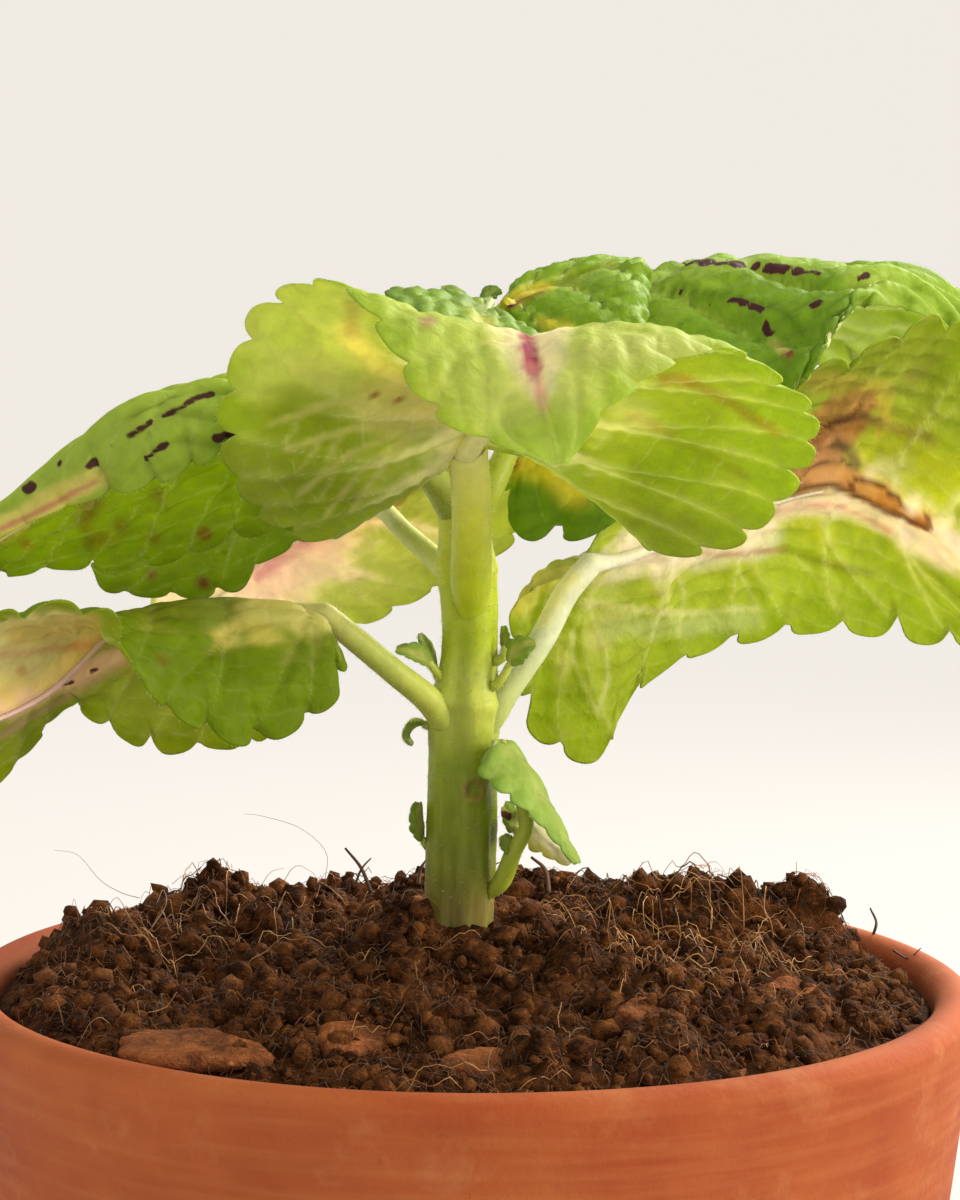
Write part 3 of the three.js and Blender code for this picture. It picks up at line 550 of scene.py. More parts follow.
def scattered_lumps(draw, centres, radii, squash=0.75):
    """Twenty-sided lumps: each corner is moved out or in by up to a third."""
    count = len(centres)
    shape = twelve * (1 + 0.33 * draw.uniform(-1, 1, (count, 12, 1))) * radii[:, None, None]
    shape = shape * np.array([1, draw.uniform(0.7, 1), squash])
    points = np.einsum("nij,nkj->nki", random_turns(draw, count), shape) + centres[:, None]
    faces = (twenty[None] + 12 * np.arange(count)[:, None, None]).reshape(-1, 3)
    return points.reshape(-1, 3), faces


CRUMBS, SPREAD = 5600, 53
draw = np.random.default_rng(5)
away = SPREAD * np.sqrt(draw.uniform(0.012, 1, CRUMBS))
way = draw.uniform(0, 2 * np.pi, CRUMBS)
size = 0.26 + 1.7 * draw.uniform(0, 1, CRUMBS) ** 4.5
cx, cy = away * np.cos(way), away * np.sin(way)
keep = (np.hypot(cx - STEM_FOOT[0], cy) > 6.5) & (away + size < SOIL_RADIUS)
cx, cy, size = cx[keep], cy[keep], size[keep]
centres = np.stack([cx, cy, soil_height(cx, cy) + 0.25 * size], -1)
crumb_points, crumb_faces = scattered_lumps(draw, centres, size)
make_piece("soil_crumbs", crumb_points, crumb_faces, coir_lumps, "soil")


# %% [markdown]
# Coir fibres are stiff golden strands. Each is a thin three-sided tube that bends at random
# over the ground. The tubes are worked out together, as one array of fibres by stations.

# %% Strands
FIBRE_LIMIT, MANY, LONG_STATIONS, SHORT_STATIONS = 53.6, 200, 14, 4


def strands(paths, radii):
    """Three-sided tapered tubes round many paths at once. paths is (count, stations, 3)."""
    count, stations = paths.shape[:2]
    along = unit(np.gradient(paths, axis=1))
    side = unit(np.cross(along, np.array([0.31, 0.2, 0.93])))
    up = np.cross(along, side)
    turn = np.arange(3) * 2 * np.pi / 3
    ring = side[:, :, None] * np.cos(turn)[:, None] + up[:, :, None] * np.sin(turn)[:, None]
    points = paths[:, :, None] + ring * radii[:, :, None, None]
    points = points.transpose(0, 2, 1, 3).reshape(count, -1, 3)
    quads = grid_quads(3, stations, wrap=True)[:, ::-1]
    caps = np.array([[0, stations, 2 * stations], [3 * stations - 1, 2 * stations - 1, stations - 1]])
    first = (3 * stations * np.arange(count))[:, None, None]
    return points.reshape(-1, 3), [(quads + first).reshape(-1, 4), (caps + first).reshape(-1, 3)]


def ground_fibres(draw, count, lengths, radius, rise, stations, middle=(0, 0), region=53, bend=1.1):
    """Fibres that start at random round a middle on the soil, turn at a steady random rate and
    lie in an arch."""
    at = np.linspace(0, 1, stations)
    away, way = region * np.sqrt(draw.uniform(0.02, 1, count)), draw.uniform(0, 2 * np.pi, count)
    long = draw.uniform(*lengths, count)[:, None]
    heading = draw.uniform(0, 2 * np.pi, count)[:, None] + draw.normal(0, bend, count)[:, None] * at
    heading = heading + 0.45 * bend * np.sin(at * 7 + draw.uniform(0, 6, count)[:, None])
    step = long / (stations - 1)
    x = (middle[0] + away * np.cos(way))[:, None] + np.cumsum(step * np.cos(heading), 1)
    y = (middle[1] + away * np.sin(way))[:, None] + np.cumsum(step * np.sin(heading), 1)
    far = np.hypot(x, y)
    pull = np.minimum(FIBRE_LIMIT / far, 1)
    x, y = x * pull, y * pull
    arch = draw.uniform(0.2, 1, count)[:, None] * rise * np.sin(np.pi * at)
    lifted = draw.uniform(-0.2, 1.0, count)[:, None]
    lifted = lifted + 0.5 * np.sin(at * 11 + draw.uniform(0, 6, count)[:, None])
    z = soil_height(x, y) + 0.3 + arch + lifted * np.minimum(long / 6, 1)
    thick = radius * draw.uniform(0.5, 1, count)[:, None] * (1 - 0.5 * at)
    return np.stack([x, y, z], -1), thick


def fibre_material(name, dark, light, rough):
    """A dry plant fibre: straw colours that change from strand to strand."""
    material, tree = new_material(name)
    here = add(tree, "ShaderNodeTexCoord").outputs["Object"]
    tint = mixed(tree, carried(tree, noise_share(tree, here, 5, 3), 0.35, 0.65), dark, light)
    surface(tree, add(tree, "ShaderNodeBsdfPrincipled", {"Base Color": tint, "Roughness": rough}))
    return material


golden = fibre_material("coir fibre", "#7E5022", "#BC8C4C", 0.6)
brown = fibre_material("dark root and twig", "#2C1A0E", "#5E3E24", 0.85)
rusty = fibre_material("shredded peat fibre", "#40200C", "#8A562A", 0.85)
for name, fibre, count, lengths, radius, rise, middle, region, bend, seed in (
    ("coir_fibres", golden, 60, (4, 12), 0.08, 1.8, (0, 0), 52, 0.45, 21),
    ("coir_fibres_right", golden, 90, (3, 12), 0.09, 2.4, (28, 4), 16, 0.45, 25),
    ("coir_fibres_left", golden, 36, (3, 12), 0.09, 2.4, (-33, 6), 13, 0.45, 26),
    ("dark_roots", brown, 70, (3, 9), 0.17, 1.4, (0, 0), 53, 0.8, 22),
    ("short_roots", brown, 600, (1.2, 4), 0.1, 1.1, (0, 0), 53, 0.9, 23),
    ("peat_fuzz", rusty, 3600, (1, 3.4), 0.065, 1.0, (0, 0), 53, 1.1, 24),
):
    draw = np.random.default_rng(seed)
    stations = LONG_STATIONS if count < MANY else SHORT_STATIONS
    paths, thick = ground_fibres(draw, count, lengths, radius, rise, stations, middle, region, bend)
    make_piece(name, *strands(paths, thick), fibre, "soil")

# %% Twigs that stand up and fine hairs in the air
# Each stroke is drawn by the pixels that it passes and the depth y of its plane.
TWIGS = [
    (((371, 893), (361, 868), (345, 848)), 10, 0.34), (((356, 884), (362, 868), (371, 858)), 10, 0.22),
    (((548, 893), (545, 870), (531, 857)), 14, 0.42), (((418, 884), (421, 868), (427, 858)), 14, 0.3),
    (((868, 950), (876, 925), (870, 908)), 24, 0.3), (((196, 908), (199, 893), (193, 882)), 12, 0.2),
    (((702, 905), (694, 884), (676, 872)), 26, 0.2), (((738, 895), (731, 880), (717, 874)), 26, 0.16),
    (((246, 907), (259, 897), (262, 884)), 12, 0.2), (((893, 950), (908, 958), (921, 948)), 12, 0.18),
]
AIR_HAIRS = [
    (((140, 898), (122, 893), (100, 880), (78, 855), (54, 850)), 4, 0.06),
    (((150, 930), (166, 905), (163, 890), (156, 905)), 2, 0.06),
    (((325, 880), (326, 852), (300, 828), (262, 816), (244, 814)), 12, 0.05),
    (((172, 884), (186, 874), (198, 880)), 8, 0.05), (((262, 884), (271, 872), (284, 868)), 8, 0.05),
]


def stroke_paths(strokes, stations=16):
    """Smooth paths through pixels, each carried on its own plane, and tapered radii."""
    at = np.linspace(0, 1, stations)
    lines = [smooth_path([from_picture(u, v, y) for u, v in pixels], at) for pixels, y, _ in strokes]
    radii = np.array([r for _, _, r in strokes])[:, None] * (1 - 0.55 * at)
    return np.stack(lines), radii


make_piece("twigs", *strands(*stroke_paths(TWIGS)), brown, "soil")
pale_hair = fibre_material("fine plant hair", "#8A7A66", "#B8A88E", 0.6)
make_piece("fine_hairs_on_soil", *strands(*stroke_paths(AIR_HAIRS)), pale_hair, "soil")


# %% [markdown]
# A large flake of pine bark lies at the front left, with four smaller ones about the soil.
# Each is a flat ragged slab with two faces and a rounded edge, with reddish layers along the
# grain.

# %% Bark flakes
FLAKE_SIDES = 72


def flake(centre, length, width, thick, turn, tilt, seed):
    """Rings of a slab: radius (cos, sin) of a rounded oblong with ragged ends, at heights
    from the lower face to the upper one, tilted about its long axis."""
    a = np.linspace(0, 2 * np.pi, FLAKE_SIDES, endpoint=False)[:, None]
    level = np.array([-1, -1, -0.7, 0, 0.7, 1, 1])
    share = np.array([0.02, 0.86, 0.97, 1, 0.96, 0.84, 0.02])
    rag = 1 + 0.09 * np.sin(3 * a + seed) + 0.05 * np.sin(8 * a + 2 * seed) + 0.03 * np.sin(19 * a)
    x = length / 2 * share * rag * np.sign(np.cos(a)) * np.abs(np.cos(a)) ** 0.8
    y = width / 2 * share * rag * np.sin(a)
    z = thick / 2 * level + 0.25 * np.sin(x * 0.5 + seed) * (level > 0)
    points = np.stack([x, y, z + 0 * a], -1).reshape(-1, 3)
    points[:, 2] += 0.18 * noise(points * [0.4, 2, 1], 1.2, 5)
    c, s = math.cos(tilt), math.sin(tilt)
    points = points @ np.array([[1, 0, 0], [0, c, -s], [0, s, c]]).T
    c, s = math.cos(turn), math.sin(turn)
    points = points @ np.array([[c, -s, 0], [s, c, 0], [0, 0, 1]]).T
    return points + centre, grid_quads(FLAKE_SIDES, len(level), wrap=True)


bark = peat_material("pine bark", "#54301C", "#925630", "#B07C48", 1.5)
large = flake((-28.5, -40.5, 104.9), 16.6, 7.8, 2.0, -0.35, 0.16, 1)
chip = make_piece("bark_flake", *large, bark, "bark")
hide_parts("bark_chip")
for number, (x, y, long, wide, turn, seed) in enumerate((
    (-11.5, -37, 9, 6, 0.5, 2), (37, -13, 8, 6, -0.4, 3), (2.5, -44.5, 9, 5, 0.1, 4), (19, -30, 7, 5, 0.9, 5),
)):
    z = float(soil_height(np.array([x]), np.array([y]), fine=False)[0]) + 0.1
    make_piece(f"bark_crumb_{number}", *flake((x, y, z), long, wide, 2.2, turn, 0.3, seed), bark, "bark")


# %% [markdown]
# ## The stem
#
# A coleus stem is square, with rounded ridges and a shallow groove down each side. It is
# thick and pale where a pair of leaves sets on. The section is a circle whose radius grows
# with the cosine of four times the angle, and the middle line and radius follow stations.

# %% Living tissue of stem and petioles
def tissue_material(name):
    """Juicy green tissue under fine down. Its tint is stored on the points. Long faint
    streaks run up it, and light goes a millimetre or two in before it comes out."""
    material, tree = new_material(name)
    here = add(tree, "ShaderNodeTexCoord").outputs["Object"]
    tint = add(tree, "ShaderNodeAttribute", attribute_name="tint").outputs["Color"]
    long = add(tree, "ShaderNodeMapping", {"Vector": here, "Scale": (1, 1, 0.12)})
    streak = noise_share(tree, long.outputs[0], 0.8, 3)
    shade = carried(tree, noise_share(tree, here, 2.5, 4, 0.6), 0.3, 0.7, 0.88, 1.08)
    pale = mixed(tree, 0.35, tint, "#D4DC86")
    streaked = mixed(tree, carried(tree, streak, 0.4, 0.65, to_high=0.25), tint, pale)
    toned = add(tree, "ShaderNodeHueSaturation", {"Value": shade, "Color": streaked})
    bump = add(tree, "ShaderNodeBump", {"Height": streak, "Strength": 0.4, "Distance": 0.0002})
    surface(tree, add(tree, "ShaderNodeBsdfPrincipled", {
        "Base Color": toned.outputs[0], "Roughness": 0.45, "IOR": 1.42, "Subsurface Weight": 0.4,
        "Subsurface Scale": 0.0016, "Subsurface Radius": (1.0, 1.0, 0.35), "Specular IOR Level": 0.25,
        "Sheen Weight": 0.04, "Sheen Roughness": 0.4, "Normal": bump.outputs[0],
    }))
    return material


stem_tissue = tissue_material("coleus stem, fresh and downy")
print("material:", stem_tissue.name)

# %% Stem
STEM_STATIONS = [
    (-0.8, 96, 3.8), (-0.8, 104, 4.0), (-0.8, 112, 4.05), (-0.6, 122, 4.1), (-0.5, 131, 4.0),
    (-0.3, 137, 4.3), (-0.1, 140, 3.5), (0.1, 144, 3.2), (0.0, 149, 3.3), (-0.4, 153, 3.5),
    (-0.6, 157, 3.0), (-0.7, 163, 2.9), (-0.3, 168, 2.3), (0.4, 175, 1.9), (1.1, 181, 1.6), (1.4, 184, 0.9),
]
STEM_TINTS = [
    (96, "#5A5202"), (113, "#665C02"), (120, "#707C02"), (130, "#849602"), (136, "#AEB642"),
    (140, "#AEB846"), (144, "#A0B010"), (150, "#A8B60C"), (154, "#BCC230"), (163, "#BEC63C"),
    (172, "#C8CE54"), (184, "#84A048"),
]
STEM_TURN, STEM_ROWS, STEM_SIDES = 0.5, 260, 88


def tint_along(levels, at):
    """Linear colours for each level, from a list of (level, hex) with straight blends between."""
    places = np.array([level for level, _ in levels], float)
    values = np.array([colour(code) for _, code in levels])
    return np.stack([np.interp(at, places, values[:, k]) for k in range(4)], -1)


def stem_ring(at, angle):
    """Points of the stem: the middle line plus r (1 + 0.075 cos 4(a - turn) - 0.02 cos 8(a - turn))
    in direction a."""
    line = smooth_path([(x, r, z) for x, z, r in STEM_STATIONS], at)
    x, r, z = line[:, 0], line[:, 1], line[:, 2]
    square = 0.075 * np.cos(4 * (angle - STEM_TURN)) - 0.02 * np.cos(8 * (angle - STEM_TURN))
    radius = r * (1 + square)
    return np.stack([x + radius * np.cos(angle), radius * np.sin(angle), z + 0 * radius], -1)


stem_at = np.linspace(0, 1, STEM_ROWS)
stem_angle = np.linspace(0, 2 * np.pi, STEM_SIDES, endpoint=False)[:, None]
stem_points = stem_ring(stem_at, stem_angle).reshape(-1, 3)
outward = unit(stem_points * [1, 1, 0] + [0.3, 0, 0])
uneven = 0.09 * noise(stem_points * [1, 1, 0.3], 1.4, 7) + 0.05 * noise(stem_points, 0.7, 8)
stem_points = stem_points + outward * uneven[:, None]
for level, swell, wide in ((137.0, 0.30, 0.9), (152.8, 0.25, 0.8), (163.2, 0.22, 0.7), (174.5, 0.15, 0.6)):
    around = np.arctan2(stem_points[:, 1], stem_points[:, 0])
    over = stem_points[:, 2] - level - 0.35 * np.sin(2 * around)
    stem_points = stem_points + outward * (swell * bell(over, wide))[:, None]

# A healed scar: a raised ring of bark round a dent with brown dots.
scar = np.array([0.9, -4.4, 127.1])
scar_far = np.linalg.norm((stem_points - scar) * [1, 0.6, 1.05], axis=1)
dent = 0.28 * bell(scar_far - 1.35, 0.3) - 0.15 * (scar_far < 1.1)
stem_points = stem_points + outward * dent[:, None]
stem_side = np.arctan2(stem_points[:, 1], stem_points[:, 0])
# The stem's grooves are tinted a darker green, as painted shade.
groove_shade = np.clip(-np.cos(4 * (stem_side - STEM_TURN)), 0, 1)
dots = (scar_far < 0.9) * np.clip(noise(stem_points, 0.35, 9) * 2, 0, 1)
foot = np.clip(1 - (stem_points[:, 2] - 112.5) / 3.5 + 0.6 * noise(stem_points, 1.5, 4), 0, 1)
stem_tint = tint_along(STEM_TINTS, stem_points[:, 2])
for code, share in (
    ("#5E6A08", 0.12 * groove_shade), ("#8A6234", 0.75 * bell(scar_far - 1.15, 0.35)),
    ("#7A5228", 0.7 * dots), ("#7A6A34", 0.55 * foot),
):
    stem_tint = blend(stem_tint, colour(code), share)

stem_quads = grid_quads(STEM_SIDES, STEM_ROWS, wrap=True)
stem_points = np.vstack([stem_points, [[-0.8, 0, 96], [1.4, 0, 184.3]]])
stem_tint = np.vstack([stem_tint, colour("#54500A"), colour("#84A048")])
stem = make_piece(
    "square_stem", stem_points, [stem_quads, end_fans(STEM_SIDES, STEM_ROWS)], stem_tissue, "stem",
    {"tint": stem_tint},
)
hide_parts("stem")


# %% [markdown]
# ## The leaves
#
# A leaf blade is drawn across three guides: its midrib and its left and right edges, whose
# knots are paired. Left is the left hand of someone who looks from the leaf's base to its
# tip with the upper face up. On each half, the point at s along the leaf and t from midrib
# to edge is the midrib's point plus t times the way to the edge, lifted by an arch. Close
# to the edge the surface is stretched and shortened into round lobes of equal length.
#
# Side veins run forwards from the midrib and end in the notches between lobes. Every second
# one branches off its neighbour. The blade swells into pillows between them.
#
# The sheet has two faces a third of a millimetre apart, because light that enters one face
# and leaves by the other is what makes a leaf glow.

# %% Blade surface
def lobe_reach(place):
    """How far a lobe reaches: (1 - |x|^2.5)^0.6 with x from -1 to 1 across the lobe."""
    x = 2 * (place - np.floor(place)) - 1
    return (1 - np.abs(x) ** 2.5) ** 0.6


def lobe_places(leaf, side, s):
    """Lobes passed at s: the edge's length so far as a share of the whole, times their count."""
    at = np.linspace(0, 1, 600)
    edge = smooth_path(leaf["left" if side < 0 else "right"], at)
    run = np.concatenate([[0], np.cumsum(np.linalg.norm(np.diff(edge, axis=0), axis=1))])
    return leaf["lobes"] * np.interp(s, at, run / run[-1])


def row_places(leaf, rows):
    """Places along the leaf that are closer together where its edges are long."""
    at = np.linspace(0, 1, 600)
    run = lobe_places(leaf, -1, at) + lobe_places(leaf, 1, at) + leaf["lobes"] * at
    return np.interp(np.linspace(0, run[-1], rows), run, at)


def half_blade(leaf, side, s, t):
    """One half of the blade: M(s) + W(s) t + up 4t(1 - t) arch + outward lobes near t = 1."""
    middle = smooth_path(leaf["midrib"], s)
    along = unit(np.gradient(middle, s, axis=0))
    across = smooth_path(leaf["left" if side < 0 else "right"], s) - middle
    width = np.linalg.norm(across, axis=1)
    up = unit(np.cross(along, across) if side < 0 else np.cross(across, along))
    fade = np.minimum(width / leaf.get("fade_width", 12), 1)[:, None]
    place = lobe_places(leaf, side, s)[:, None]
    uneven = 1 + 0.3 * np.sin(2.3 * place + side + leaf["seed"])
    rise = leaf["arch"][0 if side < 0 else 1] * fade * 4 * t * (1 - t) - leaf.get("curl", 0.6) * fade * t**8
    stretch = leaf["lobe_depth"] * uneven * fade * (lobe_reach(place) - 0.6) * t**6
    reach = t + stretch / np.maximum(width[:, None], 0.2)
    points = middle[:, None] + across[:, None] * reach[..., None] + up[:, None] * rise[..., None]
    return points, place + 0 * t, fade + 0 * t


def blade_grid(leaf, rows, columns):
    """Both halves side by side, from the left edge to the right edge, with s, signed t,
    lobe place and fade of every point. Columns crowd towards the edge as 1 - (1 - x)^1.25."""
    s = row_places(leaf, rows)
    t = (1 - (1 - np.linspace(0, 1, columns + 1)) ** 1.25)[None]
    pairs = zip(half_blade(leaf, -1, s, t), half_blade(leaf, 1, s, t))
    points, place, fade = (np.swapaxes(np.concatenate([a[:, :0:-1], b], 1), 0, 1) for a, b in pairs)
    cross = np.concatenate([-t[0, :0:-1], t[0]])[:, None] * np.ones((1, rows))
    along = np.ones((len(cross), 1)) * s
    return {"points": points, "place": place, "fade": fade, "cross": cross, "along": along}


def surface_normals(points):
    """Across the grid times along it, which points to the upper side."""
    return unit(np.cross(np.gradient(points, axis=0), np.gradient(points, axis=1)))


def blade_veins(leaf, grid):
    """Distances in mm to the midrib, to the nearest side vein and to the nearest cross vein.
    Side veins are the lines where q = place + slant (1 - t)^1.1 is whole. A step in q is
    turned to mm by the length of its gradient on the surface."""
    points, t = grid["points"], np.abs(grid["cross"])
    q = grid["place"] + leaf.get("slant", 1.6) * (1 - t) ** 1.1
    a, b = np.gradient(points, axis=0), np.gradient(points, axis=1)
    qa, qb = np.gradient(q, axis=0), np.gradient(q, axis=1)
    aa, bb, ab = (a * a).sum(-1), (b * b).sum(-1), (a * b).sum(-1)
    slope = np.sqrt((qa**2 * bb - 2 * qa * qb * ab + qb**2 * aa) / np.maximum(aa * bb - ab**2, 1e-6))
    slope = np.clip(slope, 0.08, 3)
    lead = ease(0.25, 0.95, t)
    whole = np.abs((q + 1) % 2 - 1)
    branch = np.where(t > 0.25, np.abs((q + 1 - lead) % 2 - 1), 9)
    side_vein = np.minimum(whole, branch) / slope
    steps = np.cumsum(np.linalg.norm(np.diff(points, axis=0), axis=-1), 0)
    steps = np.vstack([np.zeros((1, t.shape[1])), steps])
    rib = np.abs(steps - steps[len(steps) // 2])
    spacing = leaf.get("spacing", 2.7)
    offset = spacing * sine_draw(np.floor(q / 2) * 7 + np.sign(grid["cross"]) + leaf["seed"])
    run = rib + offset + 0.5 * noise(points, 2.4, leaf["seed"])
    cross_vein = np.abs(run / spacing - np.floor(run / spacing) - 0.5) * spacing
    return {"rib": rib, "vein": side_vein, "cross": cross_vein}


# %% [markdown]
# Leaf colours are laid on in two steps. First comes the pattern that the variety grows: a
# cream heart along the midrib and the veins, a yellow-green field and a green edge, with
# different tones on the two faces. Then come the marks that each leaf has of its own:
# purple dashes, pink ribs and dried patches. A mark is a short stroke. It is placed where
# it shows in the camera's picture, in the picture's own pixels, and is then carried onto
# the nearest blade there. From then on it is a line in space, and its width is in mm. A
# leaf's dried list holds strokes over which its pale veins fade out.

# %% Paint on the leaf points
ANCHOR_STEP, ANCHOR_REACH, DEPTH_SHARE, WIDE_MARK = 1.5, 1.4, 0.3, 14
FAR_AWAY = 9.0


def stroke_distance(points, stroke):
    """Distance in mm from every point to a stroke, with depth counted at 0.3 so that a stroke on
    a slanting blade stays whole, and how many mm one pixel is there. The stroke's own points
    are means of the blade's points round them, weighted by how near those show to it."""
    flat = points.reshape(-1, 3)
    pixels, depth = picture_place(flat), (flat - EYE) @ ahead
    squeezed = flat @ np.stack([right, upward, DEPTH_SHARE * ahead], -1)
    line = np.asarray(stroke, float)
    run = np.concatenate([[0], np.cumsum(np.linalg.norm(np.diff(line, axis=0), axis=1))])
    count = max(int(run[-1] / ANCHOR_STEP), 1) + 1 if len(line) > 1 else 1
    at = np.linspace(0, run[-1], count)
    dense = np.stack([np.interp(at, run, line[:, k]) for k in (0, 1)], -1)
    miss = ((pixels[None] - dense[:, None]) ** 2).sum(-1) + 0.6 * (depth - depth.min())
    chosen = miss.argmin(1)
    far = np.full(len(flat), 1e9)
    for index, gaps in zip(chosen, miss):
        close = np.linalg.norm(flat - flat[index], axis=-1) < ANCHOR_REACH
        weight = np.exp((gaps[index] - gaps[close]) / 8)
        anchor = weight @ squeezed[close] / weight.sum()
        far = np.minimum(far, np.linalg.norm(squeezed - anchor, axis=-1))
    scale = np.median(depth[chosen]) / FOCAL
    return far.reshape(points.shape[:-1]), scale


def growth_pattern(look, veins, grid):
    """Edge, field and heart colours. The heart's half width, as a share of the blade, is
    given for each half at five places from the base to the tip, and noise frays it."""
    points, t = grid["points"], np.abs(grid["cross"])
    places = np.linspace(0, 1, 5)
    fray = 0.09 * noise(points, 5, 31) + 0.06 * noise(points, 1.8, 32)
    feather = look.get("feather", 1) * (0.22 * bell(veins["vein"], 0.9) + 0.07 * bell(veins["cross"], 0.6))
    left, right = (np.interp(grid["along"], places, shares) for shares in look["heart"])
    heart = np.where(grid["cross"] > 0, right, left)
    tint = np.broadcast_to(colour(look["field"]), t.shape + (4,))
    tint = blend(tint, colour(look["edge"]), ease(look.get("edge_from", 0.5), 0.95, t + fray - feather))
    in_heart = 1 - ease(heart - 0.14, heart + 0.14, t + 1.5 * fray - feather)
    tint = blend(tint, colour(look["heart_tint"]), in_heart)
    if "vein_tint" in look:
        close = bell(veins["vein"], look.get("vein_width", 0.8))
        tint = blend(tint, colour(look["vein_tint"]), 0.75 * close * (1 - 0.8 * t**2))
    return tint


def add_marks(tint, marks, points, face):
    """Lays each mark of this face over the tint: (face, stroke, width, softness, colour, share),
    with width and softness in pixels of the picture. Noise frays the outline."""
    for which, stroke, width, soft, code, share in marks:
        if which in (face, "both"):
            far, scale = stroke_distance(points, stroke)
            rough = min(width, WIDE_MARK)
            far = far / scale + 0.2 * rough * noise(points, 1.8, 41) + 0.1 * rough * noise(points, 0.7, 42)
            far = far + 0.12 * max(width - WIDE_MARK, 0) * noise(points, 5, 43)
            tint = blend(tint, colour(code), share * (1 - ease(width / 2 - soft, width / 2 + soft, far)))
    return tint


def stain_field(stains, points):
    """Signed distance in mm to the outline of the nearest purple stain, ragged by noise."""
    field = np.full(points.shape[:-1], 5.0)
    for stroke, width in stains:
        far, scale = stroke_distance(points, stroke)
        ragged = 0.2 * noise(points, 0.9, 51) + 0.14 * noise(points, 0.45, 52)
        field = np.minimum(field, far - width * scale / 2 + ragged)
    return field


# %% [markdown]
# The leaf material mixes a soft, slightly shiny skin with a translucent one, because about
# half of the light that a thin leaf doesn't soak up goes through it. Side veins and cross
# veins are pale lines, strong on the lower face and faint on the upper one. The net of
# finest veins is a cell pattern of about 1 mm cells, and cells of 3 mm swell into soft
# pillows, whose grooves are tinted darker as painted shade. Short down gives a faint sheen.
# Stalks have the tissue of the stem.

# %% Leaf material
def leaf_material(name, through, relief, stain_tint):
    """Reads the tint, the distances to veins and stains, and the veins' strength, from the points."""
    material, tree = new_material(name)
    here = add(tree, "ShaderNodeTexCoord").outputs["Object"]
    tint = add(tree, "ShaderNodeAttribute", attribute_name="tint").outputs["Color"]
    vein, cross, stain, net = (
        add(tree, "ShaderNodeAttribute", attribute_name=key).outputs["Fac"]
        for key in ("vein", "cross", "stain", "net")
    )
    wander = add(tree, "ShaderNodeTexNoise", {"Vector": here, "Scale": per_mm(1.6), "Detail": 2})
    bent = {0: 0.0009, 4: here, 5: wander.outputs["Color"]}
    bent = add(tree, "ShaderNodeMix", bent, data_type="VECTOR").outputs[1]
    cells, pillows = cell_walls(tree, bent, 1.15), cell_walls(tree, bent, 3.1)
    most = 0.0
    for far, wide, share in (
        (vein, 0.5, 1.0), (cross, 0.3, 0.6), (pillows, 0.06, 0.22), (cells, 0.1, 0.15),
    ):
        line = carried(tree, far, wide, wide * 0.2, to_high=share, smooth=True)
        most = arithmetic(tree, "MAXIMUM", line, most)
    veined = mixed(tree, arithmetic(tree, "MULTIPLY", most, net), tint, mixed(tree, 0.75, tint, "#E8EBB4"))
    shade = carried(tree, noise_share(tree, here, 3.5, 4, 0.65), 0.3, 0.7, 0.9, 1.08)
    # Painted shade: the colour is up to 7% darker at the walls between the 3 mm pillows, in the grooves
    # between them.
    tone = arithmetic(tree, "MULTIPLY", shade, carried(tree, pillows, high=0.2, to_low=0.93))
    toned = add(tree, "ShaderNodeHueSaturation", {"Value": tone, "Color": veined}).outputs[0]
    final = mixed(tree, carried(tree, stain, 0.12, -0.12, to_high=0.94, smooth=True), toned, stain_tint)
    dome = arithmetic(tree, "MINIMUM", cells, 0.35)
    height = arithmetic(tree, "MULTIPLY_ADD", noise_share(tree, here, 0.35, 2), 0.25, dome)
    fine = add(tree, "ShaderNodeBump", {"Height": height, "Strength": relief, "Distance": 0.00022})
    bump = add(tree, "ShaderNodeBump", {
        "Height": carried(tree, pillows, high=0.34, smooth=True), "Strength": 1.0,
        "Distance": 0.0003 * relief, "Normal": fine.outputs[0],
    }).outputs[0]
    skin = add(tree, "ShaderNodeBsdfPrincipled", {
        "Base Color": final, "Roughness": 0.55, "IOR": 1.42, "Specular IOR Level": 0.12,
        "Sheen Weight": 0.02, "Sheen Roughness": 0.5, "Normal": bump,
    })
    glow_tint = add(tree, "ShaderNodeHueSaturation", {"Saturation": 1.08, "Value": 1.35, "Color": final})
    glow = add(tree, "ShaderNodeBsdfTranslucent", {"Color": glow_tint.outputs[0], "Normal": bump})
    surface(tree, add(tree, "ShaderNodeMixShader", {0: through, 1: skin.outputs[0], 2: glow.outputs[0]}))
    return material


leaf_skin = leaf_material("coleus leaf, thin and downy", 0.5, 0.4, "#4A1230")
young_skin = leaf_material("young coleus leaf, quilted", 0.35, 0.35, "#5A1A2C")
print("materials:", leaf_skin.name, young_skin.name)


# %% [markdown]
# A petiole is a round stalk that swells a little where it leaves the stem. It starts inside
# the stem, so that the two run into each other, and goes on under the blade as a rib.

# %% Stalks
STALK_STATIONS, RIB_STATIONS = 46, 60


def tube(path, radii, sides, across):
    """Rings round a path: side cos(a) + up sin(a), with side square to the path and near the
    given direction. Both ends are closed with a fan."""
    along = unit(np.gradient(path, axis=0))
    side = unit(across - along * (along @ across)[:, None])
    up = np.cross(along, side)
    a = np.linspace(0, 2 * np.pi, sides, endpoint=False)[:, None, None]
    points = path + (side * np.cos(a) + up * np.sin(a)) * radii[:, None]
    count = len(path)
    points = np.vstack([points.reshape(-1, 3), path[:1], path[-1:]])
    return points, [grid_quads(sides, count, wrap=True), end_fans(sides, count)]


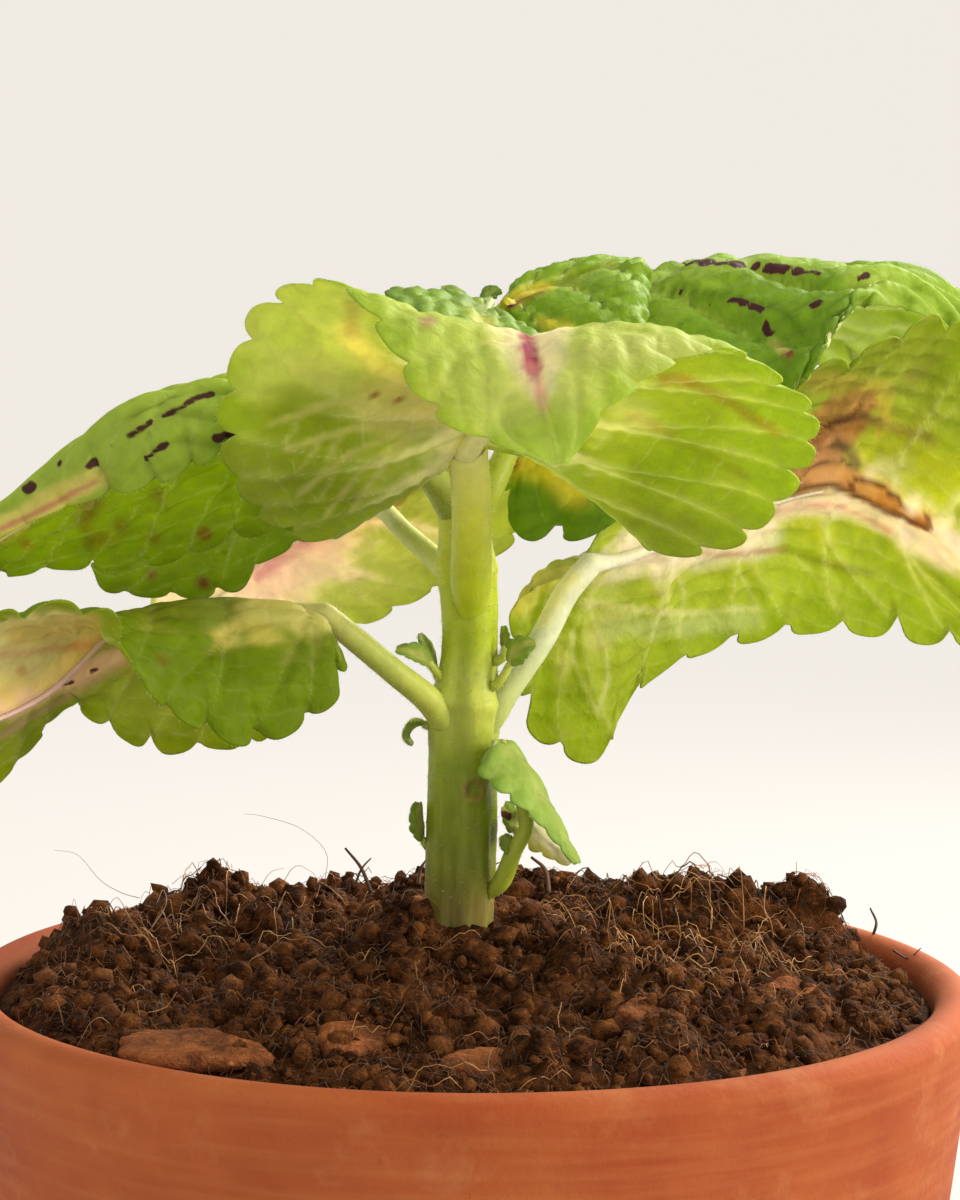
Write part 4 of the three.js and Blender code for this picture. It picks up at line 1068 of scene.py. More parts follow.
def stalk_and_rib(leaf):
    """The petiole's path, then the midrib's, lowered by its own radius below the blade."""
    u = np.linspace(0, 1, STALK_STATIONS)
    petiole = smooth_path(leaf["petiole"], u)
    thick, thin = leaf["stalk"]
    swell = 0.1 * bell(u - 0.22, 0.16) - 0.45 * (1 - ease(0, 0.2, u))
    petiole_radius = thick + (thin - thick) * u + thick * swell
    s = np.linspace(0, 1, RIB_STATIONS)[1:] * leaf.get("rib_reach", 0.93)
    middle = smooth_path(leaf["midrib"], s)
    across = smooth_path(leaf["right"], s) - smooth_path(leaf["left"], s)
    up = unit(np.cross(across, np.gradient(middle, axis=0)))
    k = s / s[-1]
    rib_radius = thin + (leaf.get("rib_end", 0.2) - thin) * k**0.5
    drop = (rib_radius + 0.3) * np.minimum(4 * k, 1)
    path = np.vstack([petiole, middle - up * drop[:, None]])
    return path, np.concatenate([petiole_radius, rib_radius]), unit(across.mean(0))


# %% Build one leaf
FIELDS = ("tint", "vein", "cross", "stain", "net")
tuft_roots, tuft_ways, tuft_sizes = [], [], []


def remember_down(points, ways, length, keep, seed):
    """Keeps a share of these points as places where short hairs grow."""
    pick = np.random.default_rng(seed).uniform(size=len(points)) < keep
    tuft_roots.append(points[pick])
    tuft_ways.append(ways[pick])
    tuft_sizes.append(np.full(pick.sum(), length))


def leaf_parts(leaf, rows, columns):
    """Points, faces and fields of a blade with two faces."""
    grid = blade_grid(leaf, rows, columns)
    veins = blade_veins(leaf, grid)
    t, fade, up = np.abs(grid["cross"]), grid["fade"], surface_normals(grid["points"])
    quilt = leaf.get("quilt", 0.35)
    dome = (1 - quilt) * (1 - bell(veins["vein"], 1.4)) + quilt * (1 - bell(veins["cross"], 0.8))
    window = np.minimum(t / 0.1, 1) * (1 - 0.6 * t**5)
    ripple = leaf.get("ripple", 0.35) * noise(grid["points"], 9, leaf["seed"] + 3) * t
    points = grid["points"] + up * (leaf["puff"] * fade * window * (dome - 0.6) + ripple * fade)[..., None]
    grid["points"] = points
    up = surface_normals(points)
    thick = leaf.get("thickness", 0.34) * (1 - 0.35 * t**4)
    line = bell(veins["vein"], 0.3) * (1 - t**3) + 0.4 * bell(veins["cross"], 0.25) * (1 - t**2)
    channel = leaf.get("channel", 0.3) * bell(veins["rib"], 0.7)
    top = points + up * (thick / 2 - leaf.get("valley", 0.12) * line - channel)[..., None]
    bottom = points - up * (thick / 2 + leaf.get("ridge", 0.16) * line + channel)[..., None]
    wide, count = len(t), t.size
    quads = grid_quads(wide, rows)
    number = np.arange(count).reshape(wide, rows)
    loop = np.concatenate([number[:-1, 0], number[-1, :-1], number[:0:-1, -1], number[0, :0:-1]])
    after = np.roll(loop, -1)
    rim = np.stack([loop, loop + count, after + count, after], -1)
    faces = [np.vstack([quads, quads[:, ::-1] + count, rim])]
    paint, marks = leaf["paint"], leaf.get("marks", [])
    fields = {key: [] for key in FIELDS}
    stain = stain_field(leaf.get("stains", []), points)
    dried = ease(0, 1.2, stain_field(leaf.get("dried", []), points)).ravel()
    for face in ("top", "under"):
        look = paint[face] if face in paint else paint
        tint = add_marks(growth_pattern(look, veins, grid), marks, points, face)
        fields["tint"].append(tint.reshape(-1, 4))
        fields["vein"].append((veins["vein"] * (0.75 + 0.9 * t)).ravel())
        fields["cross"].append(veins["cross"].ravel())
        fields["stain"].append((stain if face == leaf.get("stained", "top") else stain + 0.2).ravel())
        fields["net"].append(dried * look.get("net", 0.12 if face == "top" else 0.45))
    fields = {key: np.concatenate(values) for key, values in fields.items()}
    hair, share = leaf.get("down", 0.55), leaf.get("down_share", 0.4)
    for edge, inner, seed in ((points[0], points[2], 0), (points[-1], points[-3], 50)):
        remember_down(edge, unit(edge - inner), hair, share, leaf["seed"] + seed)
    return np.vstack([top.reshape(-1, 3), bottom.reshape(-1, 3)]), faces, fields


def grow_leaf(name, node, leaves, material, slot_name, rows=190, columns=36):
    """Joins the blades and stalks of one CAD node in one mesh that stands for it."""
    points, faces, skins, count = [], [], [], 0
    fields = {key: [] for key in FIELDS}
    for leaf in leaves:
        blade = leaf_parts(leaf, rows, columns)
        path, radii, across = stalk_and_rib(leaf)
        sides = leaf.get("stalk_sides", 20)
        stalk_points, stalk_faces = tube(path, radii, sides, across)
        u = np.concatenate([np.tile(np.linspace(0, 1, len(path)), sides), [0, 1]])
        stalk_tint = tint_along(leaf["stalk_tint"], u)
        stalk_tint = add_marks(stalk_tint, leaf.get("marks", []), stalk_points, "stalk")
        ways = unit(stalk_points[:-2] - np.tile(path, (sides, 1)))
        remember_down(stalk_points[:-2], ways, leaf.get("down", 0.55), 0.3, leaf["seed"] + 90)
        far = np.full(len(stalk_points), FAR_AWAY)
        stalk_values = {"tint": stalk_tint, "vein": far, "cross": far, "stain": far, "net": 0 * far}
        stalk = (stalk_points, stalk_faces, stalk_values)
        for skin, (new_points, new_faces, new_values) in enumerate((blade, stalk)):
            points.append(new_points)
            faces += shift(new_faces, count)
            skins.append(np.full(sum(len(part) for part in new_faces), skin, np.int32))
            count += len(new_points)
            for key in fields:
                fields[key].append(new_values[key])
    fields = {key: np.concatenate(values) for key, values in fields.items()}
    piece = make_piece(name, np.vstack(points), faces, material, slot_name, fields)
    piece.data.materials.append(stem_tissue)
    piece.data.polygons.foreach_set("material_index", np.concatenate(skins))
    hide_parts(node)


# %% [markdown]
# ### First pair of leaves
#
# The left leaf of the first pair folds along its midrib, so that its near half hangs and
# shows its upper face. The right leaf is turned, so that its underside faces the front. A
# part of it has dried and turned brown.

# %% Leaf 1 left
GREEN_STALK = [(0, "#98A428"), (0.4, "#A8B23C"), (1, "#C4C86C")]
leaf_1_left = {
    "petiole": [[-0.8, -0.5, 131], [-4, -3, 136.8], [-8.5, -6, 141], [-13.5, -9, 145.5], [-16.5, -10, 148]],
    "midrib": [
        [-16.5, -10, 148], [-20.5, -10, 149], [-25.5, -11, 150], [-31, -13, 150], [-36, -15.5, 149.3],
        [-40, -20, 146.8], [-46.5, -27, 140.5], [-58, -34, 135.5], [-70.5, -38, 130],
    ],
    "left": [
        [-15.5, -11, 146], [-14, -15, 142], [-17.5, -18, 137.5], [-24, -21, 135.5], [-31, -26, 138.5],
        [-36, -34, 145], [-38.5, -38, 151], [-52, -42, 148.5], [-69.5, -41, 131.5],
    ],
    "right": [
        [-17.5, -7, 146], [-20, -3, 138.5], [-25, -1, 133], [-31, -1, 132], [-37, -2, 132],
        [-43.5, -5, 135.5], [-46.5, -10, 137.5], [-55.5, -22, 128], [-71, -36, 128.5],
    ],
    "arch": (3, 1), "lobes": 14, "lobe_depth": 2.6, "stalk": (1.55, 1.4), "puff": 0.8, "seed": 1,
    "stalk_tint": [(0, "#AEB642"), (0.3, "#A9B14E"), (0.5, "#C4BA78"), (1, "#DDBB98")],
    "paint": {
        "top": {"edge": "#7A920A", "field": "#86A010", "heart_tint": "#DDD06A", "edge_from": 0.45,
                "heart": ([0.5, 0.5, 0.3, 0.1, 0.1], [0.3, 0.3, 0.3, 0.2, 0.1])},
        "under": {"edge": "#A0AE10", "field": "#B8BC48", "heart_tint": "#F2DC98", "net": 0.3,
                  "heart": ([0.1, 0.1, 0.2, 0.75, 0.75], [0.1] * 5)},
    },
    "marks": [
        ("top", [(150, 655), (200, 664), (250, 672), (290, 664), (328, 646)], 40, 10, "#728A06", 0.75),
        ("top", [(215, 606), (262, 604), (325, 608)], 44, 7, "#E6E088", 1.0),
        ("top", [(212, 618), (235, 636)], 18, 6, "#EEE484", 0.85),
        ("top", [(108, 640), (130, 622), (165, 615), (215, 612)], 44, 9, "#7C9408", 0.85),
        ("top", [(160, 660)], 13, 4, "#7A6A14", 0.6),
        ("under", [(0, 655), (50, 648), (98, 643)], 9, 4, "#DE9A70", 0.6),
        ("both", [(0, 716), (40, 695), (94, 667), (116, 655)], 22, 6, "#F2D4B8", 0.85),
        ("stalk", [(0, 716), (40, 695), (94, 667), (116, 655)], 6, 3, "#D08AA0", 0.6),
        ("under", [(0, 735), (60, 700), (124, 662)], 8, 3, "#E2B49C", 0.7),
        ("under", [(20, 670)], 13, 4, "#D8965A", 0.6),
        ("under", [(20, 634), (60, 628), (92, 620)], 26, 8, "#E0BC62", 0.75),
    ],
    "stained": "under",
    "stains": [
        ([(34, 698), (38, 696)], 5), ([(66, 683), (70, 681)], 5),
        ([(90, 671), (96, 668)], 4), ([(2, 716)], 5),
    ],
}
grow_leaf("leaf_first_left", "leaf_1_left", [leaf_1_left], leaf_skin, "leaf")

# %% Leaf 1 right
leaf_1_right = {
    "petiole": [[0.8, 0, 131], [4, 0, 137.6], [8.5, 2, 144], [11.5, 4, 149.5], [14.5, 6, 153]],
    "midrib": [
        [14.5, 6, 153], [17, 9, 154], [21.5, 13, 155], [27, 17, 157], [35.5, 22, 159.5],
        [46.5, 28, 161.5], [56, 33, 159], [64.5, 37, 152], [71, 40, 143.5],
    ],
    "left": [
        [12.5, 8, 152], [5.5, 14, 147.5], [8, 19, 132.5], [16, 22, 128], [22, 26, 137],
        [36, 33, 142.5], [53.5, 38, 143], [66, 41, 141], [71, 41, 142],
    ],
    "right": [
        [14, 7, 154.5], [16, 6, 157.5], [20, 4, 161.5], [27.5, 3, 168], [36.5, 4, 174],
        [47.5, 8, 179], [58.5, 16, 182.5], [69, 29, 169], [71.5, 38, 145],
    ],
    "arch": (2, 2), "lobes": 13, "lobe_depth": 3.0, "stalk": (1.65, 1.45), "puff": 1.2, "seed": 2,
    "rib_reach": 0.6, "spacing": 3.2,
    "stalk_tint": [(0, "#A6B040"), (0.1, "#AEB86C"), (0.22, "#C0C69C"), (0.5, "#D0CEB0"), (1, "#CDBC98")],
    "paint": {
        "top": {"edge": "#93A828", "field": "#ADBA44", "heart_tint": "#E8DEC6",
                "heart": ([0.15, 0.25, 0.35, 0.3, 0.3], [0.3, 0.3, 0.4, 0.4, 0.4])},
        "under": {"edge": "#A3B41C", "field": "#AEBA34", "heart_tint": "#E4DEBE", "net": 0.22,
                  "feather": 0.5, "vein_tint": "#BAC454", "vein_width": 0.7,
                  "heart": ([0.3, 0.25, 0.12, 0.1, 0.12], [0.3, 0.2, 0.08, 0.05, 0.1])},
    },
    "dried": [
        ([(812, 432), (840, 412), (868, 412)], 44), ([(805, 470), (845, 462)], 50),
        ([(850, 480), (925, 520)], 20),
    ],
    "marks": [
        ("under", [(640, 548), (700, 545), (760, 534)], 46, 10, "#E6DCC4", 0.85),
        ("under", [(760, 514), (800, 502), (838, 500), (868, 510), (900, 524), (930, 536), (958, 552)],
         26, 6, "#E2D4B8", 0.85),
        ("under", [(915, 535), (958, 556)], 34, 8, "#EADCC4", 0.8),
        ("both", [(520, 605), (530, 585), (565, 575)], 26, 8, "#E2DC88", 0.75),
        ("under", [(612, 557), (667, 549), (718, 554), (784, 549)], 6, 3, "#B5786A", 0.6),
        ("under", [(784, 550), (820, 561), (870, 574)], 7, 4, "#7E7E1A", 0.6),
        ("under", [(765, 513), (800, 503), (838, 505), (870, 520), (890, 531)], 5, 2.5, "#C88A72", 0.65),
        ("under", [(880, 338), (925, 345)], 70, 30, "#8E9420", 0.5),
        ("under", [(890, 442), (930, 462)], 60, 20, "#98A01C", 0.6),
        ("under", [(598, 640), (612, 615)], 26, 12, "#D6CE88", 0.6),
        ("under", [(812, 380), (850, 382), (885, 392)], 20, 8, "#CDB04A", 0.6),
        ("under", [(870, 400), (884, 412), (880, 428)], 16, 6, "#D8BE50", 0.7),
        ("under", [(846, 434), (852, 455), (868, 474), (900, 500), (930, 515)], 14, 5, "#D2C864", 0.7),
        ("under", [(812, 432), (838, 412), (862, 406)], 34, 5, "#C0924C", 0.95),
        ("under", [(805, 448), (835, 438), (858, 424)], 26, 5, "#AE7C40", 0.95),
        ("under", [(790, 480), (815, 462), (830, 452)], 40, 6, "#B8895A", 0.95),
        ("under", [(800, 484), (835, 474), (852, 478)], 24, 4, "#C79A60", 0.95),
        ("under", [(850, 482), (880, 494)], 22, 4, "#C0904E", 0.95),
        ("under", [(880, 497), (905, 512), (925, 520)], 13, 3, "#B88240", 0.95),
        ("under", [(862, 416), (885, 424), (920, 434), (932, 442)], 10, 4, "#8E7A3C", 0.6),
        ("under", [(836, 443), (848, 450), (855, 464)], 12, 5, "#6A5A38", 0.75),
        ("under", [(838, 420), (860, 416), (878, 420)], 9, 4, "#6E4828", 0.8),
        ("under", [
            (761, 502), (778, 494), (796, 488), (824, 484), (845, 487), (866, 499), (887, 510), (928, 526),
        ], 6, 2, "#5E3A1E", 0.85),
        ("under", [(807, 435), (820, 428), (838, 420), (852, 418), (858, 408), (863, 400)],
         4, 1.5, "#5A3A20", 0.85),
        ("under", [(849, 485), (858, 477), (875, 481), (895, 497), (908, 510)], 4, 1.5, "#5A3418", 0.85),
        ("under", [(790, 488), (803, 472), (820, 462), (838, 457), (850, 465)], 2.5, 1, "#6E4A28", 0.7),
        ("under", [(870, 472)], 14, 6, "#E6DEB0", 0.8),
        ("under", [(912, 506)], 16, 6, "#EADEBC", 0.8),
        ("under", [(942, 524)], 18, 7, "#EADEBC", 0.8),
        ("under", [(926, 518), (929, 526)], 9, 2, "#7E5028", 0.8),
        ("under", [(898, 332)], 9, 3, "#7E7A14", 0.8),
        ("under", [(932, 358)], 14, 4, "#9A9A2A", 0.5),
        ("under", [(905, 378), (920, 372)], 12, 6, "#A8924A", 0.4),
        ("under", [(556, 640), (562, 668)], 16, 8, "#D6CC86", 0.6),
        ("under", [(574, 694)], 34, 12, "#86960E", 0.6),
        ("under", [(626, 590), (650, 594)], 26, 9, "#98A634", 0.5),
        ("under", [(610, 626), (680, 626), (755, 618)], 22, 8, "#BCC480", 0.7),
        ("under", [(571, 633), (574, 661), (592, 702), (599, 716)], 4, 2.5, "#D8D496", 0.75),
        ("under", [(587, 602), (606, 652), (608, 679), (599, 707)], 4, 2.5, "#D8D496", 0.75),
        ("under", [(580, 602), (638, 609), (684, 613), (758, 608)], 6, 3, "#DCD69C", 0.75),
        ("under", [(675, 569), (684, 592), (677, 636)], 4, 2.5, "#D2D08A", 0.7),
        ("under", [(739, 572), (753, 597), (762, 626)], 4, 2.5, "#CDCC78", 0.7),
        ("under", [(794, 557), (817, 578), (840, 612)], 4, 2.5, "#C6C868", 0.6),
    ],
}
grow_leaf("leaf_first_right", "leaf_1_right", [leaf_1_right], leaf_skin, "leaf", 190, 46)

# %% [markdown]
# ### Second pair of leaves
#
# The front leaf bows over towards the viewer and shows the underside of both wings. The back
# leaf hangs behind the stem with its upper face forwards.

# %% Leaf 2 front
leaf_2_front = {
    "petiole": [
        [0.2, -0.9, 146], [0.2, -4.4, 152.5], [0.2, -8, 158.5], [0, -11.4, 163.5], [-0.5, -14, 167.5],
    ],
    "midrib": [
        [-0.5, -14, 167.5], [-0.5, -16, 168], [0.5, -20, 169.5], [1.5, -26, 171.5], [3, -33, 174],
        [4.5, -41, 177], [6, -50, 179], [6.5, -60, 173.5], [8, -66, 167],
    ],
    "right": [
        [-2, -13, 167], [-8, -8, 162.5], [-17, -8, 157], [-25, -21, 163], [-25.5, -31, 173.5],
        [-21, -37, 182.5], [-12, -49, 184], [-3, -62, 172], [7, -66, 167],
    ],
    "left": [
        [1.3, -13, 167.2], [13.5, -8, 164.5], [21, -8, 156], [30.5, -14, 158], [35, -24, 165],
        [35, -36, 172], [24.5, -49, 178.5], [14, -62, 173.5], [9, -66, 167],
    ],
    "dried": [([(235, 330), (290, 290), (370, 300), (395, 350), (300, 365), (240, 390)], 90)],
    "arch": (1.5, -0.8), "lobes": 17, "lobe_depth": 2.4, "stalk": (2.2, 2.3), "puff": 0.65, "seed": 3,
    "stalk_tint": [(0, "#A8B60C"), (0.12, "#AEBA18"), (0.24, "#C4C83C"), (0.44, "#D6D476"), (1, "#DCD8A0")],
    "paint": {
        "top": {"edge": "#A6BE3C", "field": "#BACA5C", "heart_tint": "#D8DA88",
                "heart": ([0.2, 0.2, 0.2, 0.05, 0.0], [0.2, 0.2, 0.2, 0.05, 0.0])},
        "under": {"edge": "#A8B630", "field": "#B0BA3C", "heart_tint": "#EEE6B4", "net": 0.36,
                  "vein_tint": "#DADA90", "vein_width": 0.7,
                  "heart": ([0.4, 0.3, 0.15, 0.05, 0.05], [0.4, 0.3, 0.15, 0.05, 0.05])},
    },
    "marks": [
        ("top", [(530, 335), (540, 388)], 84, 22, "#DADF80", 0.6),
        ("top", [(530, 328), (532, 340)], 74, 12, "#F0E6C0", 0.9),
        ("top", [(534, 340), (537, 362)], 48, 12, "#F0E6C0", 0.9),
        ("top", [(537, 362), (541, 386)], 30, 9, "#F0E6C0", 0.9),
        ("top", [(541, 386), (543, 402)], 15, 6, "#F0E6C0", 0.85),
        ("top", [(526, 330), (529, 350), (534, 368)], 15, 4, "#A5245A", 0.92),
        ("top", [(534, 368), (540, 390), (543, 408)], 11, 5, "#E0A09A", 0.7),
        ("top", [(544, 440), (548, 474)], 70, 26, "#AAC444", 0.85),
        ("top", [(428, 322)], 16, 6, "#C98A8A", 0.55),
        ("under", [(240, 330), (290, 300), (350, 300), (330, 360), (270, 370)], 70, 24, "#CECA78", 0.75),
        ("under", [(292, 414), (330, 444), (310, 480), (330, 500)], 58, 20, "#8A9812", 0.75),
        ("under", [(380, 405), (430, 402), (455, 430)], 52, 20, "#E2D082", 0.75),
        ("under", [(420, 418), (350, 428), (285, 448)], 6, 3, "#CCC478", 0.8),
        ("under", [(415, 426), (350, 452), (300, 492)], 6, 3, "#CCC478", 0.8),
        ("under", [(412, 432), (362, 468), (325, 515)], 5, 2.5, "#CCC478", 0.8),
        ("under", [(410, 438), (375, 475), (350, 512)], 5, 2.5, "#CCC478", 0.8),
        ("under", [(372, 405), (330, 402), (270, 424)], 6, 3, "#CCC478", 0.7),
        ("under", [(322, 432), (312, 455), (300, 468)], 3.5, 2, "#C6C070", 0.7),
        ("under", [(345, 428), (334, 446), (322, 472)], 3.5, 2, "#C6C070", 0.7),
        ("under", [(306, 405), (296, 422), (288, 440)], 3.5, 2, "#C6C070", 0.7),
        ("under", [(338, 462), (330, 482), (318, 498)], 3.5, 2, "#C6C070", 0.7),
        ("under", [(378, 394)], 6, 2, "#8A4A20", 0.85),
        ("under", [(397, 398)], 5, 2, "#9A5A28", 0.8),
        ("both", [(349, 332), (374, 359), (397, 378)], 20, 8, "#E4D982", 0.7),
        ("both", [(353, 305), (352, 330)], 12, 7, "#A98A4A", 0.35),
        ("under", [(608, 386), (645, 378), (692, 380)], 12, 6, "#B87E3C", 0.6),
        ("under", [(692, 380), (735, 405), (778, 432)], 8, 4, "#A8742E", 0.5),
        ("under", [(625, 412), (645, 420), (668, 432)], 10, 5, "#CE9A5C", 0.5),
        ("under", [(668, 432), (705, 452), (745, 475)], 7, 4, "#8C7A20", 0.5),
        ("under", [(610, 405), (640, 415)], 30, 12, "#E4DCA0", 0.5),
        ("under", [(696, 432), (676, 470), (650, 476)], 56, 20, "#8E9E12", 0.7),
        ("top", [(600, 350), (690, 348)], 40, 16, "#CCCA80", 0.45),
    ],
}
grow_leaf("leaf_second_front", "leaf_2_front", [leaf_2_front], leaf_skin, "leaf")

# %% Leaf 2 back
leaf_2_back = {
    "petiole": [[-0.4, 1, 150], [-3.5, 4, 153], [-8, 10, 156.5], [-10.5, 17, 158.5], [-13, 25, 159]],
    "midrib": [
        [-13, 25, 159], [-15.5, 29, 158.5], [-19, 34, 156.5], [-23.5, 40, 153.5], [-28.5, 46, 150],
        [-33, 52, 146], [-37, 57, 142.5], [-40.5, 62, 139], [-43.5, 65, 135.5],
    ],
    "left": [
        [-11, 26, 159], [-5, 29, 162], [5.5, 32, 161], [6.5, 32, 155], [-4, 32, 148],
        [-11, 36, 144.5], [-20, 43, 139.5], [-31, 53, 134.5], [-42, 64, 134.5],
    ],
    "right": [
        [-14, 28, 160], [-17, 36, 161.5], [-23, 46, 162.5], [-29.5, 54, 161], [-35.5, 60, 157],
        [-40.5, 64, 152], [-43.5, 66, 146.5], [-45, 66, 141], [-45, 66, 136],
    ],
    "arch": (2, 2), "lobes": 14, "lobe_depth": 2.4, "stalk": (1.3, 1.1), "puff": 0.6, "seed": 4,
    "stalk_tint": [(0, "#C2CA60"), (0.4, "#D2D47C"), (1, "#E0DCA0")],
    "paint": {"edge": "#B8C060", "field": "#C4C878", "heart_tint": "#E4D8B8", "net": 0.25,
              "heart": ([0.2, 0.3, 0.4, 0.45, 0.4], [0.4, 0.6, 0.7, 0.7, 0.6])},
    "marks": [
        ("top", [(317, 534), (290, 552), (262, 575)], 60, 22, "#DCBCAE", 0.7),
        ("top", [(317, 534), (290, 552), (258, 575)], 14, 6, "#B46A7C", 0.7),
        ("top", [(345, 530), (385, 512)], 16, 8, "#E3C9A0", 0.6),
        ("top", [(391, 506), (418, 486)], 8, 3, "#B07A5A", 0.7),
    ],
}
grow_leaf("leaf_second_back", "leaf_2_back", [leaf_2_back], leaf_skin, "leaf", 140, 24)

# %% [markdown]
# ### Third pair of leaves and the younger leaf behind
#
# The left leaf's near half curls over its midrib, the right leaf stands over the others and
# bends down at its tip, and a darker young leaf grows from the axil on the left.

# %% Leaf 3 left
leaf_3_left = {
    "petiole": [[-0.9, 0, 156.5], [-3, -2, 161.5], [-5.5, -5, 164.5], [-8.5, -9, 167.5], [-11.5, -11, 170.5]],
    "midrib": [
        [-11.5, -11, 170.5], [-15.5, -14, 172.5], [-20.5, -16, 174], [-25.5, -17, 174], [-32, -18, 171],
        [-38.5, -19, 166.5], [-46, -21, 161], [-52.5, -23, 156.5], [-59, -26, 150.5],
    ],
    "left": [
        [-10, -13, 169.5], [-13, -14.5, 169], [-19.5, -17.5, 168.5], [-26.5, -21.5, 167.5], [-33, -25, 164],
        [-39, -26, 162.5], [-45.5, -26, 160], [-52.5, -27, 156], [-58.5, -28, 150],
    ],
    "right": [
        [-12.5, -9, 169], [-15, -6, 162], [-19.5, -5, 158.5], [-26.5, -4, 157.5], [-33.5, -4, 154.5],
        [-41, -5, 153.5], [-49.5, -6, 153], [-56.5, -12, 152], [-60, -24, 150],
    ],
    "arch": (8, 1), "lobes": 12, "lobe_depth": 2.6, "stalk": (1.8, 1.5), "puff": 1.6, "seed": 5,
    "quilt": 0.6, "spacing": 3,
    "stalk_tint": [(0, "#8E9A34"), (0.4, "#A3AC4A"), (0.6, "#B9B556"), (1, "#D9CC78")],
    "paint": {
        "top": {"edge": "#A4BC3C", "field": "#B0C64C", "heart_tint": "#BCC254", "edge_from": 0.6,
                "heart": ([0.1] * 5, [0.1] * 5)},
        "under": {"edge": "#8CA008", "field": "#9AAA10", "heart_tint": "#BFBA4A", "net": 0.3,
                  "heart": ([0.1] * 5, [0.2, 0.15, 0.15, 0.2, 0.3])},
    },
    "marks": [
        ("both", [(0, 527), (48, 503), (96, 478)], 24, 6, "#DDD278", 0.85),
        ("both", [(0, 530), (48, 507), (94, 482)], 5, 2, "#C98070", 0.7),
        ("under", [(98, 494), (84, 526)], 15, 7, "#7A4A10", 0.55),
        ("under", [(119, 523)], 16, 8, "#7A4A10", 0.5),
        ("under", [(92, 541), (104, 538)], 16, 7, "#7E4812", 0.55),
        ("under", [(154, 540)], 15, 7, "#7E4812", 0.5),
        ("under", [(158, 494)], 12, 6, "#7A4A10", 0.5),
        ("under", [(204, 533)], 11, 4, "#8A3A14", 0.7),
        ("under", [(25, 544)], 12, 5, "#8A3A14", 0.6),
    ],
    "stains": [
        ([(236, 381), (241, 372)], 7), ([(165, 416), (187, 404), (211, 394)], 6.5),
        ([(131, 434), (149, 422)], 6.5), ([(147, 457), (158, 450), (167, 444)], 6.5),
        ([(215, 438), (234, 433)], 7), ([(90, 466), (95, 462)], 8), ([(28, 490), (33, 486)], 9),
        ([(60, 464)], 4), ([(112, 446)], 3),
    ],
}
grow_leaf("leaf_third_left", "leaf_3_left", [leaf_3_left], leaf_skin, "leaf", 190, 42)

# %% Leaf 3 right
leaf_3_right = {
    "petiole": [[-0.3, 0, 156.5], [2.5, 0.5, 162.3], [5, 4, 167.5], [9, 8, 172.5], [12, 10, 176.5]],
    "midrib": [
        [12, 10, 176.5], [16, 13, 182], [21.5, 16, 186.5], [29.5, 20, 189.5], [38, 24, 190.5],
        [46.5, 29, 190], [55.5, 33, 188], [64, 36, 184], [71, 38, 177.5],
    ],
    "left": [
        [13.5, 12, 178], [17, 22, 182.5], [25, 34, 185], [36, 43, 183.5], [45.5, 47, 178],
        [54.5, 48, 177.5], [59.5, 48, 181], [67.5, 44, 181], [71.5, 39, 177.5],
    ],
    "right": [
        [11, 8, 175], [3.5, 5, 165.5], [7, 0, 157.5], [16, -3, 158.5], [29.5, -3, 166],
        [39, 0, 175.5], [47, 12, 184.5], [61, 26, 182.5], [70, 37, 176.5],
    ],
    "arch": (3, 3), "lobes": 13, "lobe_depth": 3.2, "stalk": (1.5, 1.3), "puff": 2.2, "seed": 6,
    "quilt": 0.3, "slant": 5.5, "spacing": 3.4,
    "stalk_tint": GREEN_STALK,
    "paint": {
        "top": {"edge": "#6C8E1E", "field": "#789A28", "heart_tint": "#8CA638", "edge_from": 0.5,
                "heart": ([0.15, 0.15, 0.1, 0.1, 0.1], [0.15, 0.15, 0.1, 0.1, 0.1])},
        "under": {"edge": "#DCE07C", "field": "#E4E690", "heart_tint": "#F0F0BC", "net": 1.0,
                  "vein_tint": "#F8F6DC", "heart": ([0.3, 0.3, 0.3, 0.2, 0.1], [0.3, 0.3, 0.3, 0.2, 0.1])},
    },
    "marks": [
        ("top", [(505, 452), (545, 462), (575, 485)], 40, 12, "#E6D64C", 0.9),
        ("top", [(513, 463)], 12, 4, "#8A3A1E", 0.85),
        ("top", [(690, 254), (760, 256), (830, 262), (900, 280), (958, 305)], 20, 6, "#93B04C", 0.7),
        ("top", [(870, 285), (905, 290), (958, 315)], 60, 16, "#A4BC48", 0.8),
        # The next three dark strokes are painted shade in the creases between the long pleats of the near
        # half and in a lobe cleft.
        ("top", [(660, 291), (700, 293), (735, 297), (775, 308)], 5, 3, "#46680A", 0.6),
        ("top", [(690, 275), (740, 277), (790, 283), (822, 290)], 4, 2.5, "#4E7010", 0.5),
        ("top", [(770, 308), (792, 318), (806, 334)], 5, 3, "#4A6A0C", 0.55),
        ("top", [(789, 355)], 10, 3, "#8E2A36", 0.9),
        ("top", [(772, 342), (784, 350)], 10, 4, "#C9C070", 0.7),
    ],
    "stains": [
        ([(684, 264), (705, 263)], 5), ([(703, 263), (740, 265), (770, 269), (800, 272)], 9),
        ([(765, 268), (785, 271)], 12), ([(802, 272), (820, 275)], 5), ([(834, 278)], 3), ([(845, 280)], 3),
        ([(858, 280), (866, 276)], 7), ([(682, 294)], 6), ([(711, 307)], 4),
        ([(728, 298), (745, 304), (761, 310)], 8), ([(775, 305)], 2.5), ([(812, 308), (820, 304)], 6),
        ([(763, 324), (768, 334)], 9), ([(770, 330), (777, 332)], 3),
    ],
}
grow_leaf("leaf_third_right", "leaf_3_right", [leaf_3_right], leaf_skin, "leaf", 190, 44)

